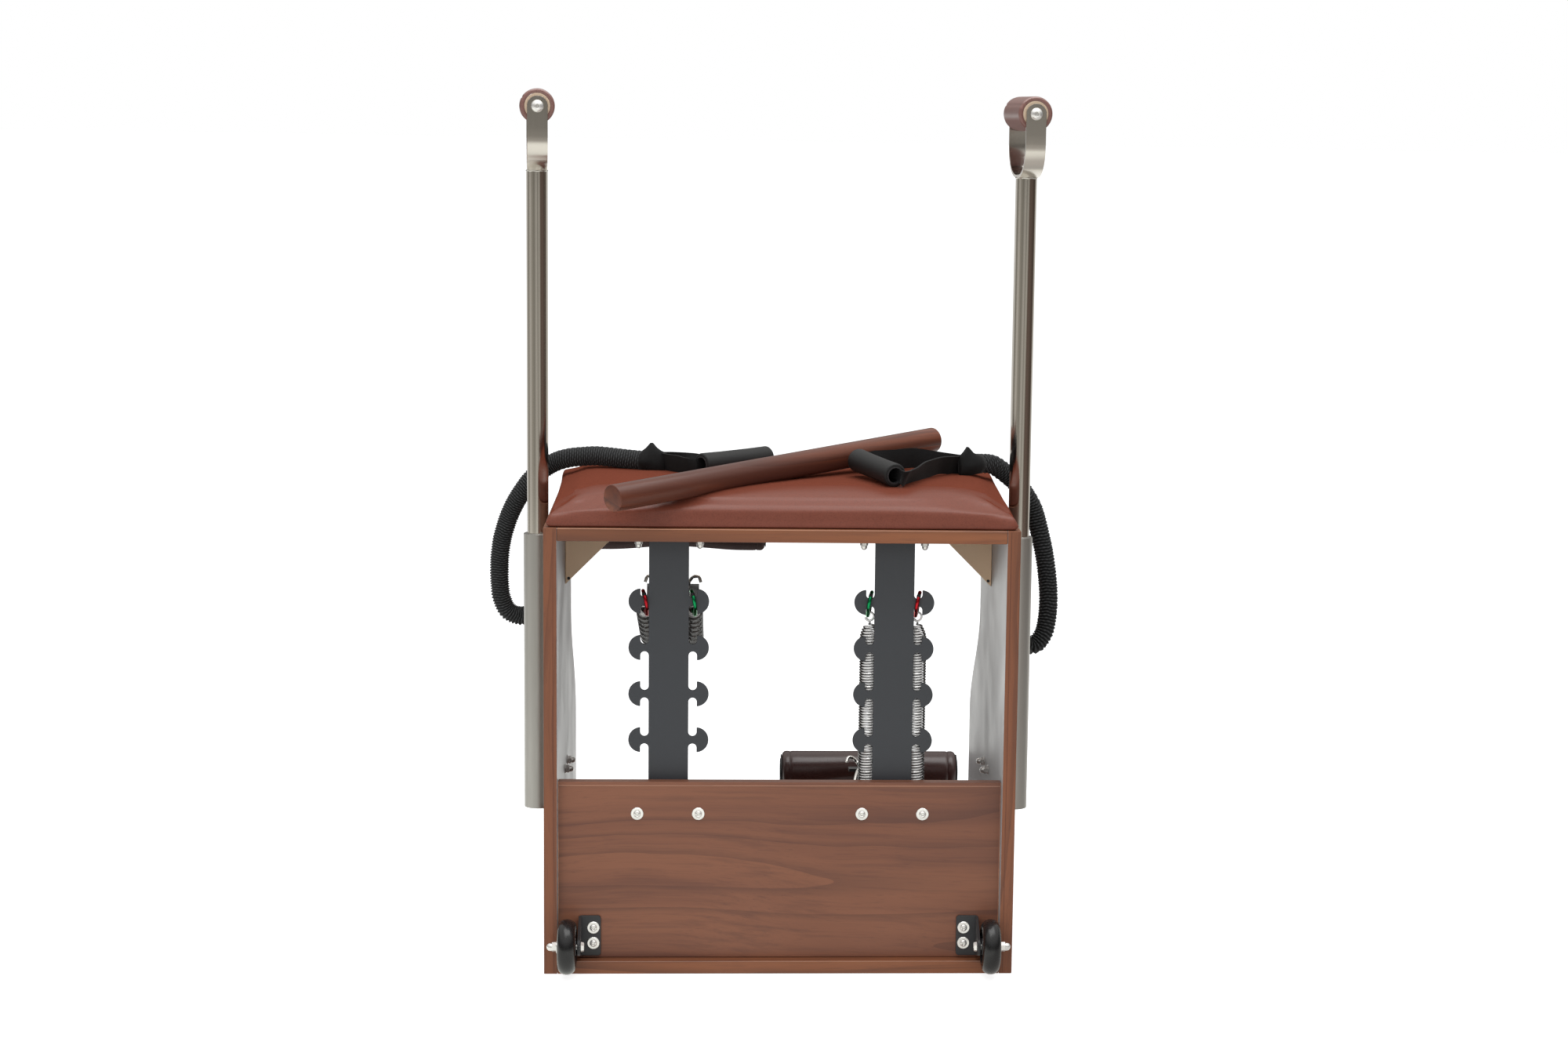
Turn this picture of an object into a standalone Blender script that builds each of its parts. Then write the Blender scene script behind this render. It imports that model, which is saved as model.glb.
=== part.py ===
"""Split-pedal pilates chair with sprung pedals, handle poles and resistance cords.

Metres, +Z up. The origin is on the floor under the middle of the frame's base. +Y points
to the user's side, where the pedals are, and +X to the left of a user who faces the chair.
"""
import math

import bmesh
import bpy
import numpy as np
from mathutils import Matrix, Vector

# Frame boards
FRAME_WIDTH = 0.640
FRAME_HEIGHT = 0.614
BOARD = 0.018
PANEL_TOP_DEPTH = 0.400
PANEL_BASE_DEPTH = 0.550
SWEEP_TOP_Z = 0.445
SWEEP_BOTTOM_Z = 0.258
BACK_BOARD_INSET = 0.018
BACK_BOARD_TOP_Z = 0.264
GUSSET_LEG = 0.093
GUSSET_FROM_REAR = 0.235
EDGE_ROUND = 0.0012
SEAT_GAP = 0.0003

# Seat cushion
CUSHION_CROWN = 0.0448
CUSHION_REAR_EDGE = 0.0165
CUSHION_FRONT_EDGE = 0.034
CUSHION_DRAW = 0.004
CUSHION_BELLY = 0.0022
CUSHION_ROLL = 0.007
CUSHION_CUTS = 7

# Spring posts
POST_X = 0.153
POST_HALF = 0.027
POST_PLATE = 0.005
HOOK_TOP_Z = 0.5087
HOOK_PITCH = 0.0638
HOOK_COUNT = 4
HOOK_RADIUS = 0.017
HOOK_OFFSET = 0.0105
SLOT_WIDTH = 0.0114
NECK_HEIGHT = 0.010
FOOT_HALF = 0.0525
FOOT_TOP_Z = 0.258
FOOT_BOTTOM_Z = 0.200
FOOT_NOTCH_HALF = 0.019
FOOT_NOTCH_Z = 0.242
TOP_FLANGE_DEPTH = 0.040

# Pedal hinges
BRACKET_BELOW_FOOT = 0.035
EAR_FLARE = 0.006
PIVOT_FROM_REAR = 0.085
PIVOT_Z = 0.205
PIN_RADIUS = 0.006
PIN_CLEARANCE = 0.0003
PIN_HEAD = 0.003
EAR = 0.004
EAR_GAP = 0.0005
EAR_RADIUS = 0.018
BRACKET_HEIGHT = 0.085
BRACKET_PLATE = 0.005
STOP_REACH = 0.022

# Pedals
ARM_LENGTH = 0.579
ARM_WIDTH = 0.024
ARM_DEPTH = 0.036
ARM_WALL = 0.002
HUB_RADIUS = 0.014
PEDAL_UP = math.radians(35.0)
PEDAL_DOWN = math.radians(-6.6)
PEDAL_TUBE_RADIUS = 0.020
PEDAL_TUBE_WALL = 0.0015
PEDAL_TUBE_HALF = 0.140
PAD_RADIUS = 0.032
PAD_HALF = 0.137
PAD_RELIEF = 0.006
PAD_CLEARANCE = 0.0003
CROSS_PLATE = (0.077, 0.036, 0.004)
CROSS_PLATE_AT = 0.418
CROSS_PLATE_SINK = 0.0005
ARM_SOLID_END = 0.050
PAD_CORNER = 0.008
PAD_END_STATIONS = (0.0, 0.003, 0.008, 0.035)
PAD_MIDDLE_STATION = 0.060
HOOK_ROD_RADIUS = 0.0022
LOWER_HOOK = (0.352, -0.012)
HOOK_TIP = (0.008, 0.009)
HOOK_ROD_OUT = 0.022
HOOK_CURL = ((0.0, -0.010, 0.0), (0.0035, 0.0, 0.006), (0.010, 0.002, 0.012), (0.0165, 0.0, 0.012),
             (0.019, -0.005, 0.006))

# Springs and carabiners
SPRING_FREE_LENGTH = 0.292
SPRING_RADIUS = 0.0126
SPRING_END_RADIUS = 0.0085
SPRING_CURLS = 10
SPRING_WIRE = 0.0016
POINTS_PER_CURL = 8
EYE_RADIUS = 0.0060
EYE_STEP = 50
EYE_PLAY = 0.0006
RING_HALF_WIDTH = 0.0125
RING_STRAIGHT = 0.016
RING_ROD = 0.0025
RING_TILT = math.radians(52.0)
RING_SEAT = (0.00746, 0.0011)

# Handle poles and sleeves
POLE_FROM_PANEL = 0.0215
POLE_FROM_REAR = 0.250
POLE_RADIUS = 0.015
POLE_WALL = 0.002
POLE_TOP_Z = 1.080
SLEEVE_RADIUS = 0.020
SLEEVE_BOTTOM_Z = 0.177
SLEEVE_HEIGHT = 0.395
SLEEVE_FLOOR = 0.006
SLEEVE_CLEARANCE = 0.0004
SLEEVE_FLANGE = (0.004, 0.084)
FORK_STRAP = 0.004
FORK_WIDTH = 0.028
FORK_AXLE_Z = 1.169
FORK_BEND_Z = 1.128
ROLLER_LENGTH = 0.120
ROLLER_RADIUS = 0.024
CORE_RADIUS = 0.0177
ROLLER_PLAY = 0.001
AXLE_RADIUS = 0.004
COVER_EDGE = 0.003
BOLT_HEAD_RADIUS = 0.0088
BOLT_DOME = 0.005
POLE_TURN = {"left": math.radians(4.0), "right": math.radians(5.0)}

# Transport wheels
WHEEL_FROM_SIDE = 0.0325
WHEEL_BEHIND = 0.027
WHEEL_Z = 0.0455
WHEEL_RADIUS = 0.0375
WHEEL_WIDTH = 0.025
HUB_SEAT_RADIUS = 0.0215
WHEEL_PLATE = (0.030, 0.004, 0.056)
WHEEL_PLATE_FROM_SIDE = 0.0615
WHEEL_PLATE_Z = 0.050
WHEEL_GAP = 0.0015
WHEEL_EAR_RADIUS = 0.012
TYRE_WALL = 0.003
HUB_BOSS_RADIUS = 0.0125
AXLE_HEAD = (0.007, 0.005)
AXLE_NUT = ((0.0070, 0.006), (0.0055, 0.0065), (0.0052, 0.009), (0.0032, 0.0125), (0.0, 0.0135))

# Resistance cords and their handles
CORD_RADIUS = 0.0132
CORD_STEP = 0.021
ANCHOR_FROM_REAR = 0.345
ANCHOR_BELOW_TOP = 0.152
ANCHOR_REACH = 0.017
ANCHOR_BALL = 0.008
ANCHOR_NECK = 0.005
ANCHOR_FLANGE = (0.013, 0.003)
GRIP_RADIUS = 0.0165
GRIP_BORE = 0.0110
GRIP_EDGE = 0.002
STRAP_WIDTH = 0.018
STRAP_THICKNESS = 0.0025
STRAP_LIFT = 0.0003
STRAP_LEAD = 0.006

# Joining rod
ROD_RADIUS = 0.018
ROD_EDGE = 0.002

TOUCH = 0.0003
REAR_Y = -PANEL_BASE_DEPTH / 2
PANEL_INNER_X = FRAME_WIDTH / 2 - BOARD
BACK_FACE_Y = REAR_Y + BACK_BOARD_INSET
BACK_FRONT_Y = BACK_FACE_Y + BOARD
BRACKET_Y = BACK_FRONT_Y + TOUCH
POST_Y = BRACKET_Y + BRACKET_PLATE + TOUCH
PIVOT_Y = REAR_Y + PIVOT_FROM_REAR
SEAT_Z = FRAME_HEIGHT + SEAT_GAP
SLOT_X = POST_HALF + SLOT_WIDTH / 2
POLE_X = FRAME_WIDTH / 2 + POLE_FROM_PANEL
POLE_Y = REAR_Y + POLE_FROM_REAR
WHEEL_X = FRAME_WIDTH / 2 - WHEEL_FROM_SIDE
WHEEL_PLATE_X = FRAME_WIDTH / 2 - WHEEL_PLATE_FROM_SIDE
ANCHOR_Y = REAR_Y + ANCHOR_FROM_REAR
SIDES = {"left": -1, "right": 1}

# Routes as (out from the side panel, from the frame's rear, up from the boards' top)
CORD_ROUTES = {
    "left": [(0.028, 0.345, -0.1665), (0.044, 0.345, -0.1755), (0.06, 0.345, -0.1755),
             (0.0735, 0.345, -0.165), (0.0805, 0.345, -0.145), (0.0828, 0.345, -0.11),
             (0.079, 0.342, -0.0675), (0.0665, 0.337, -0.026), (0.05, 0.33, 0.005),
             (0.03, 0.324, 0.031), (0.0065, 0.32, 0.048), (-0.015, 0.312, 0.0575),
             (-0.058, 0.295, 0.0635), (-0.092, 0.277, 0.0625)],
    "right": [(0.022, 0.345, -0.174), (0.0275, 0.345, -0.194), (0.0365, 0.345, -0.2095),
              (0.052, 0.345, -0.2165), (0.065, 0.345, -0.209), (0.0735, 0.345, -0.191),
              (0.0767, 0.345, -0.164), (0.0767, 0.345, -0.1344), (0.071, 0.342, -0.09),
              (0.0615, 0.337, -0.049), (0.0495, 0.33, -0.011), (0.029, 0.318, 0.021),
              (0.009, 0.308, 0.04), (-0.017, 0.285, 0.058)],
}
CORD_ENDS = {"left": (-0.1365, 0.258, 0.0605), "right": (-0.0455, 0.258, 0.0605)}
GRIP_ENDS = {"left": ((-0.209, 0.205, 0.0622), (-0.3025, 0.285, 0.0645)),
             "right": ((-0.166, 0.085, 0.064), (-0.212, 0.2, 0.0715))}
# Straps from the grip's far end out to the cord and back, as (out from the side panel, from the rear)
STRAP_ROUTES = {
    "left": [(-0.3102, 0.2915), (-0.314, 0.3), (-0.308, 0.308), (-0.27, 0.306), (-0.21, 0.288),
             (-0.17, 0.268), (-0.1515, 0.2565), (-0.155, 0.244), (-0.175, 0.22), (-0.189, 0.203),
             (-0.1965, 0.1985), (-0.2015, 0.1985)],
    "right": [(-0.2158, 0.2095), (-0.213, 0.219), (-0.202, 0.228), (-0.17, 0.256), (-0.135, 0.3),
              (-0.122, 0.335), (-0.108, 0.35), (-0.088, 0.338), (-0.071, 0.3), (-0.0605, 0.26),
              (-0.064, 0.247), (-0.095, 0.19), (-0.13, 0.12), (-0.149, 0.083), (-0.157, 0.075),
              (-0.162, 0.0765)],
}
# Both rod ends are measured from the right side panel
ROD_ENDS = ((-0.546, -0.062, 0.048), (-0.0955, 0.36, 0.084))

PARTS = None
CUTTERS = None
MATERIALS = {}
FINISHES = {
    "walnut": ((0.235, 0.095, 0.052), 0.45, 0.0),
    "panel_laminate": ((0.36, 0.36, 0.355), 0.5, 0.0),
    "gusset_board": ((0.245, 0.175, 0.125), 0.5, 0.0),
    "seat_leather": ((0.205, 0.055, 0.035), 0.4, 0.0),
    "pedal_leather": ((0.075, 0.030, 0.024), 0.42, 0.0),
    "post_paint": ((0.060, 0.064, 0.068), 0.5, 0.4),
    "black_paint": ((0.020, 0.021, 0.022), 0.45, 0.3),
    "polished_steel": ((0.62, 0.61, 0.58), 0.16, 1.0),
    "spring_chrome": ((0.66, 0.65, 0.62), 0.2, 1.0),
    "sleeve_aluminium": ((0.33, 0.325, 0.315), 0.42, 0.8),
    "red_aluminium": ((0.45, 0.03, 0.04), 0.25, 0.8),
    "green_aluminium": ((0.02, 0.26, 0.09), 0.25, 0.8),
    "beige_core": ((0.52, 0.38, 0.26), 0.55, 0.0),
    "wheel_rubber": ((0.012, 0.012, 0.013), 0.35, 0.0),
    "cord_fabric": ((0.016, 0.017, 0.018), 0.85, 0.0),
    "strap_webbing": ((0.017, 0.018, 0.019), 0.8, 0.0),
    "grip_foam": ((0.021, 0.022, 0.023), 0.7, 0.0),
}


# Scene helpers
def clear_scene():
    for obj in list(bpy.data.objects):
        bpy.data.objects.remove(obj, do_unlink=True)


def new_collection(name):
    collection = bpy.data.collections.new(name)
    bpy.context.scene.collection.children.link(collection)
    return collection


def material(name):
    if name not in MATERIALS:
        colour, roughness, metallic = FINISHES[name]
        mat = bpy.data.materials.new(name)
        mat.use_nodes = True
        shader = mat.node_tree.nodes["Principled BSDF"]
        shader.inputs["Base Color"].default_value = (*colour, 1.0)
        shader.inputs["Roughness"].default_value = roughness
        shader.inputs["Metallic"].default_value = metallic
        MATERIALS[name] = mat
    return MATERIALS[name]


def place(obj, collection):
    for owner in list(obj.users_collection):
        owner.objects.unlink(obj)
    collection.objects.link(obj)


def as_part(obj, name, finish, parent=None, smooth=True):
    """Names a finished piece, puts it in the parts collection and gives it its material."""
    obj.name = name
    place(obj, PARTS)
    obj.data.materials.clear()
    obj.data.materials.append(material(finish))
    if smooth and obj.type == "MESH":
        obj.data.shade_smooth()
        obj.data.set_sharp_from_angle(angle=math.radians(35))
    if parent is not None:
        obj.parent = parent
    return obj


def as_cutter(obj, name, parent=None):
    obj.name = name
    place(obj, CUTTERS)
    obj.hide_render = True
    obj.display_type = "WIRE"
    if parent is not None:
        obj.parent = parent
    return obj


def boolean(obj, cutter, operation):
    mod = obj.modifiers.new(operation.lower() + "_" + cutter.name, "BOOLEAN")
    mod.object = cutter
    mod.operation = operation
    mod.solver = "EXACT"


def empty(name, location, rotation=(0, 0, 0)):
    obj = bpy.data.objects.new(name, None)
    obj.location = location
    obj.rotation_euler = rotation
    PARTS.objects.link(obj)
    return obj


# Shape helpers
def block(size, centre, bevel=0.0):
    """A box of the given size, with its scale applied and its edges rounded if asked."""
    bpy.ops.mesh.primitive_cube_add(size=1.0, location=centre)
    obj = bpy.context.active_object
    obj.data.transform(Matrix.Diagonal((*size, 1.0)))
    if bevel > 0:
        mod = obj.modifiers.new("edge_round", "BEVEL")
        mod.width = bevel
        mod.segments = 1
    return obj


def rod_along(start, end, radius, sides=24):
    """A plain round bar between two points."""
    start, end = Vector(start), Vector(end)
    axis = end - start
    bpy.ops.mesh.primitive_cylinder_add(vertices=sides, radius=radius, depth=axis.length,
                                        location=(start + end) / 2)
    obj = bpy.context.active_object
    obj.rotation_euler = axis.to_track_quat("Z", "Y").to_euler()
    return obj


def turned(profile, steps, closed=False):
    """A profile of (radius, height) points turned about Z with a Screw modifier."""
    mesh = bpy.data.meshes.new("profile")
    count = len(profile)
    edges = [(i, i + 1) for i in range(count - 1)]
    if closed:
        edges.append((count - 1, 0))
    mesh.from_pydata([(r, 0, z) for r, z in profile], edges, [])
    obj = bpy.data.objects.new("turned", mesh)
    bpy.context.scene.collection.objects.link(obj)
    mod = obj.modifiers.new("turn", "SCREW")
    mod.steps = steps
    mod.render_steps = steps
    mod.use_merge_vertices = True
    mod.merge_threshold = 0.00005
    mod.use_normal_calculate = False
    return obj


def ring_profile(outer, inner, low, high):
    return [(outer, high), (outer, low), (inner, low), (inner, high)]


def plate(outline, thickness, rotation, location):
    """A flat outline of (a, b) points given thickness on both sides of its plane."""
    curve = bpy.data.curves.new("outline", "CURVE")
    curve.dimensions = "2D"
    curve.fill_mode = "BOTH"
    curve.extrude = thickness / 2
    spline = curve.splines.new("POLY")
    spline.points.add(len(outline) - 1)
    for point, (a, b) in zip(spline.points, outline):
        point.co = (a, b, 0, 1)
    spline.use_cyclic_u = True
    obj = bpy.data.objects.new("plate", curve)
    obj.rotation_euler = rotation
    obj.location = location
    bpy.context.scene.collection.objects.link(obj)
    return obj


def wire(points, radius, resolution=2, cyclic=False):
    """A round tube along straight-run points, with filled caps unless it is closed."""
    curve = bpy.data.curves.new("wire", "CURVE")
    curve.dimensions = "3D"
    curve.bevel_depth = radius
    curve.bevel_resolution = resolution
    curve.use_fill_caps = not cyclic
    spline = curve.splines.new("POLY")
    spline.points.add(len(points) - 1)
    for point, co in zip(spline.points, points):
        point.co = (*co, 1)
    spline.use_cyclic_u = cyclic
    obj = bpy.data.objects.new("wire", curve)
    bpy.context.scene.collection.objects.link(obj)
    return obj


def to_mesh(obj):
    """Turns a curve object into a mesh object with welded caps, in the same place."""
    bpy.context.view_layer.update()
    depsgraph = bpy.context.evaluated_depsgraph_get()
    mesh = bpy.data.meshes.new_from_object(obj.evaluated_get(depsgraph))
    bm = bmesh.new()
    bm.from_mesh(mesh)
    bmesh.ops.remove_doubles(bm, verts=bm.verts, dist=0.00001)
    bmesh.ops.recalc_face_normals(bm, faces=bm.faces)
    bm.to_mesh(mesh)
    bm.free()
    result = bpy.data.objects.new("converted", mesh)
    bpy.context.scene.collection.objects.link(result)
    result.matrix_world = obj.matrix_world.copy()
    bpy.data.objects.remove(obj, do_unlink=True)
    return result


def smooth_route(points, step):
    """Points about one step apart on a Catmull-Rom curve through the route's own points."""
    knots = [Vector(p) for p in points]
    knots = [2 * knots[0] - knots[1]] + knots + [2 * knots[-1] - knots[-2]]
    fine = []
    for a, b, c, d in zip(knots, knots[1:], knots[2:], knots[3:]):
        for i in range(20):
            t = i / 20
            fine.append(0.5 * ((2 * b) + (c - a) * t + (2 * a - 5 * b + 4 * c - d) * t ** 2
                               + (3 * b - a - 3 * c + d) * t ** 3))
    fine.append(knots[-2])
    length = sum((q - p).length for p, q in zip(fine, fine[1:]))
    count = max(2, round(length / step))
    spacing = length / count
    route, walked = [fine[0]], 0.0
    for p, q in zip(fine, fine[1:]):
        run = (q - p).length
        while len(route) < count and walked + run >= spacing * len(route):
            share = (spacing * len(route) - walked) / run
            route.append(p.lerp(q, share))
        walked += run
    route.append(fine[-1])
    return route, length


def arc(centre, radius, start, end, count):
    """Points on an arc, angles in degrees."""
    return [(centre[0] + radius * math.cos(math.radians(start + (end - start) * i / count)),
             centre[1] + radius * math.sin(math.radians(start + (end - start) * i / count)))
            for i in range(count + 1)]


FACING_REAR = (math.radians(90), 0, 0)
FACING_SIDE = (math.radians(90), 0, math.radians(90))


def beside(sign, point):
    """A route's point out from a side panel, from the rear and over the boards, in the frame."""
    out, from_rear, up = point
    return Vector((sign * (FRAME_WIDTH / 2 + out), REAR_Y + from_rear, FRAME_HEIGHT + up))


# Frame boards
def side_panel_outline():
    """The board's side view: narrow at the seat, swept out to the base in an S."""
    front = []
    for i in range(17):
        share = i / 16
        ease = (1 - math.cos(math.pi * share)) / 2
        front.append((REAR_Y + PANEL_BASE_DEPTH + (PANEL_TOP_DEPTH - PANEL_BASE_DEPTH) * ease,
                      SWEEP_BOTTOM_Z + (SWEEP_TOP_Z - SWEEP_BOTTOM_Z) * share))
    return ([(REAR_Y, 0), (REAR_Y + PANEL_BASE_DEPTH, 0)] + front
            + [(REAR_Y + PANEL_TOP_DEPTH, FRAME_HEIGHT), (REAR_Y, FRAME_HEIGHT)])


def build_frame():
    for side, sign in SIDES.items():
        centre_x = sign * (FRAME_WIDTH / 2 - BOARD / 2)
        panel = to_mesh(plate(side_panel_outline(), BOARD, FACING_SIDE, (centre_x, 0, 0)))
        as_part(panel, side + "_side_panel", "panel_laminate")
        legs = [(0, 0), (-sign * GUSSET_LEG, 0), (0, -GUSSET_LEG)]
        if sign < 0:
            legs.reverse()
        gusset = to_mesh(plate(legs, BOARD, FACING_REAR,
                               (sign * (PANEL_INNER_X - TOUCH), REAR_Y + GUSSET_FROM_REAR,
                                FRAME_HEIGHT - BOARD - TOUCH)))
        as_part(gusset, side + "_gusset", "gusset_board")
    inner_width = 2 * (PANEL_INNER_X - TOUCH)
    top = block((inner_width, PANEL_TOP_DEPTH, BOARD),
                (0, REAR_Y + PANEL_TOP_DEPTH / 2, FRAME_HEIGHT - BOARD / 2), EDGE_ROUND)
    as_part(top, "top_board", "walnut")
    base = block((inner_width, PANEL_BASE_DEPTH, BOARD), (0, 0, BOARD / 2), EDGE_ROUND)
    as_part(base, "base_board", "walnut")
    back_low = BOARD + TOUCH
    back = block((inner_width, BOARD, BACK_BOARD_TOP_Z - back_low),
                 (0, BACK_FACE_Y + BOARD / 2, (BACK_BOARD_TOP_Z + back_low) / 2), EDGE_ROUND)
    as_part(back, "back_board", "walnut")


# Seat cushion
def crown_height(u, v):
    """The cushion's height at a place from -1 to 1 each way: low at the rear, full in front."""
    fullness = math.sin(math.pi * (v + 1) / 4)
    edge = CUSHION_REAR_EDGE + (CUSHION_FRONT_EDGE - CUSHION_REAR_EDGE) * fullness
    rise = (1 - u ** 6) * (1 - v ** (4 if v < 0 else 8))
    return edge + (CUSHION_CROWN - edge) * rise


def build_cushion():
    """Upholstered seat: crowned top, rounded edge and sides drawn in between the corners."""
    mesh = bpy.data.meshes.new("cushion")
    bm = bmesh.new()
    bmesh.ops.create_cube(bm, size=2.0)
    bmesh.ops.subdivide_edges(bm, edges=bm.edges, cuts=CUSHION_CUTS, use_grid_fill=True)
    half_x, half_y = FRAME_WIDTH / 2, PANEL_TOP_DEPTH / 2
    for vert in bm.verts:
        u, v, w = vert.co
        level = (w + 1) / 2
        inset = CUSHION_BELLY * (1 - math.cos(0.5 * math.pi * w)) + CUSHION_ROLL * level ** 3
        vert.co.x = u * (half_x - CUSHION_DRAW * (1 - v * v) - inset)
        vert.co.y = REAR_Y + half_y + v * (half_y - CUSHION_DRAW * (1 - u * u) - inset)
        vert.co.z = SEAT_Z + level * crown_height(u, v)
    bm.to_mesh(mesh)
    bm.free()
    as_part(bpy.data.objects.new("cushion", mesh), "seat_cushion", "seat_leather")


# Spring posts and pedal hinges
def hook_side(sign, level_z):
    """One mushroom hook's outline from its upper slot round to its lower slot."""
    centre = (sign * (POST_HALF + HOOK_OFFSET), level_z)
    slot_edge = POST_HALF + SLOT_WIDTH
    reach = slot_edge - POST_HALF - HOOK_OFFSET
    opening = math.degrees(math.acos(reach / HOOK_RADIUS))
    slot_centre = sign * SLOT_X
    radius = SLOT_WIDTH / 2
    top_z = level_z + NECK_HEIGHT / 2 + radius
    low_z = level_z - NECK_HEIGHT / 2 - radius
    upper = arc((slot_centre, top_z), radius, 180, 360, 6)
    disc = arc(centre, HOOK_RADIUS, opening, -opening, 8)
    lower = arc((slot_centre, low_z), radius, 0, 180, 6)
    if sign < 0:
        upper = arc((slot_centre, top_z), radius, 360, 180, 6)
        disc = arc(centre, HOOK_RADIUS, 180 - opening, 180 + opening, 8)
        lower = arc((slot_centre, low_z), radius, 180, 0, 6)
    return upper + disc + lower


def post_outline():
    """The laser-cut post in its own plane: foot tabs, shank and four pairs of hooks."""
    top = FRAME_HEIGHT - BOARD - TOUCH
    right = [(POST_HALF, top)]
    for level in range(HOOK_COUNT):
        right += hook_side(1, HOOK_TOP_Z - level * HOOK_PITCH)
    foot = [(POST_HALF, FOOT_TOP_Z), (FOOT_HALF, FOOT_TOP_Z), (FOOT_HALF, FOOT_BOTTOM_Z),
            (FOOT_NOTCH_HALF, FOOT_BOTTOM_Z), (FOOT_NOTCH_HALF, FOOT_NOTCH_Z)]
    mirrored = [(-a, b) for a, b in reversed(foot)]
    left = []
    for level in range(HOOK_COUNT):
        left += hook_side(-1, HOOK_TOP_Z - level * HOOK_PITCH)
    return right + foot + mirrored + list(reversed(left)) + [(-POST_HALF, top)]


def build_posts():
    top = FRAME_HEIGHT - BOARD - TOUCH
    for side, sign in SIDES.items():
        post = to_mesh(plate(post_outline(), POST_PLATE, FACING_REAR,
                             (sign * POST_X, POST_Y + POST_PLATE / 2, 0)))
        flange = block((2 * FOOT_HALF, TOP_FLANGE_DEPTH, POST_PLATE),
                       (sign * POST_X, POST_Y + TOP_FLANGE_DEPTH / 2, top - POST_PLATE / 2))
        as_cutter(flange, side + "_post_flange")
        boolean(post, flange, "UNION")
        as_part(post, side + "_spring_post", "post_paint")


def build_hinge_bracket(side, pivot_x):
    """A back plate with two ears for the pivot pin and a shelf that stops the arm."""
    ear_inner = ARM_WIDTH / 2 + EAR_GAP
    low = FOOT_BOTTOM_Z - BRACKET_BELOW_FOOT
    bracket = block((2 * FOOT_HALF, BRACKET_PLATE, BRACKET_HEIGHT),
                    (pivot_x, BRACKET_Y + BRACKET_PLATE / 2, low + BRACKET_HEIGHT / 2))
    reach = PIVOT_Y - BRACKET_Y
    ear = [(0, -EAR_RADIUS - EAR_FLARE), (reach, -EAR_RADIUS)]
    ear += arc((reach, 0), EAR_RADIUS, -90, 90, 8)[1:]
    ear += [(0, EAR_RADIUS + EAR_FLARE)]
    for name, sign in SIDES.items():
        wing = to_mesh(plate(ear, EAR, FACING_SIDE,
                             (pivot_x + sign * (ear_inner + EAR / 2), BRACKET_Y, PIVOT_Z)))
        boolean(bracket, as_cutter(wing, side + "_bracket_ear_" + name), "UNION")
    stop_z = (PIVOT_Z + STOP_REACH * math.sin(PEDAL_DOWN)
              - (ARM_DEPTH / 2) * math.cos(PEDAL_DOWN) - TOUCH)
    stop_depth = reach + STOP_REACH * math.cos(PEDAL_DOWN)
    shelf = block((2 * (ear_inner + EAR), stop_depth, EAR),
                  (pivot_x, BRACKET_Y + stop_depth / 2, stop_z - EAR / 2))
    boolean(bracket, as_cutter(shelf, side + "_bracket_shelf"), "UNION")
    bore = rod_along((pivot_x - FOOT_HALF, PIVOT_Y, PIVOT_Z),
                     (pivot_x + FOOT_HALF, PIVOT_Y, PIVOT_Z), PIN_RADIUS + PIN_CLEARANCE)
    boolean(bracket, as_cutter(bore, side + "_bracket_bore"), "DIFFERENCE")
    as_part(bracket, side + "_hinge_bracket", "black_paint")


def build_pivot_pin(side, pivot_x):
    half = ARM_WIDTH / 2 + EAR_GAP + EAR + TOUCH
    head = PIN_RADIUS * 1.5
    tip = half + PIN_HEAD
    end = [(0, tip), (head * 0.9, tip), (head, tip - PIN_HEAD / 3), (head, half), (PIN_RADIUS, half)]
    pin = turned(end + [(r, -x) for r, x in reversed(end)], 16)
    pin.location = (pivot_x, PIVOT_Y, PIVOT_Z)
    pin.rotation_euler = (0, math.radians(90), 0)
    as_part(pin, side + "_pivot_pin", "polished_steel")


# Pedals, modelled along local +Y from the pivot and turned by their parent empty
def spring_hook_points(sign):
    """The bent rod that takes a spring's lower eye and curls over the cross plate."""
    on_plate = ARM_DEPTH / 2 + CROSS_PLATE[2] + HOOK_ROD_RADIUS * 0.6
    near, edge = CROSS_PLATE_AT - CROSS_PLATE[1] / 2, CROSS_PLATE_AT + CROSS_PLATE[1] / 2
    low_y, low_z = LOWER_HOOK
    bar = Vector((SLOT_X, low_y, low_z))
    root = Vector((HOOK_ROD_OUT, near, on_plate))
    points = [bar - Vector((0, *HOOK_TIP)), bar]
    for across, forward, up in ((0.07, 0.28, 0.43), (0.49, 0.68, 0.85)):
        points.append(bar + Vector((across, forward, up)) * (root - bar))
    points.append(root)
    points += [Vector((HOOK_ROD_OUT, edge, on_plate)) + Vector(step) for step in HOOK_CURL]
    return [(sign * x, y, z) for x, y, z in smooth_route(points, 0.009)[0]]


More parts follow.
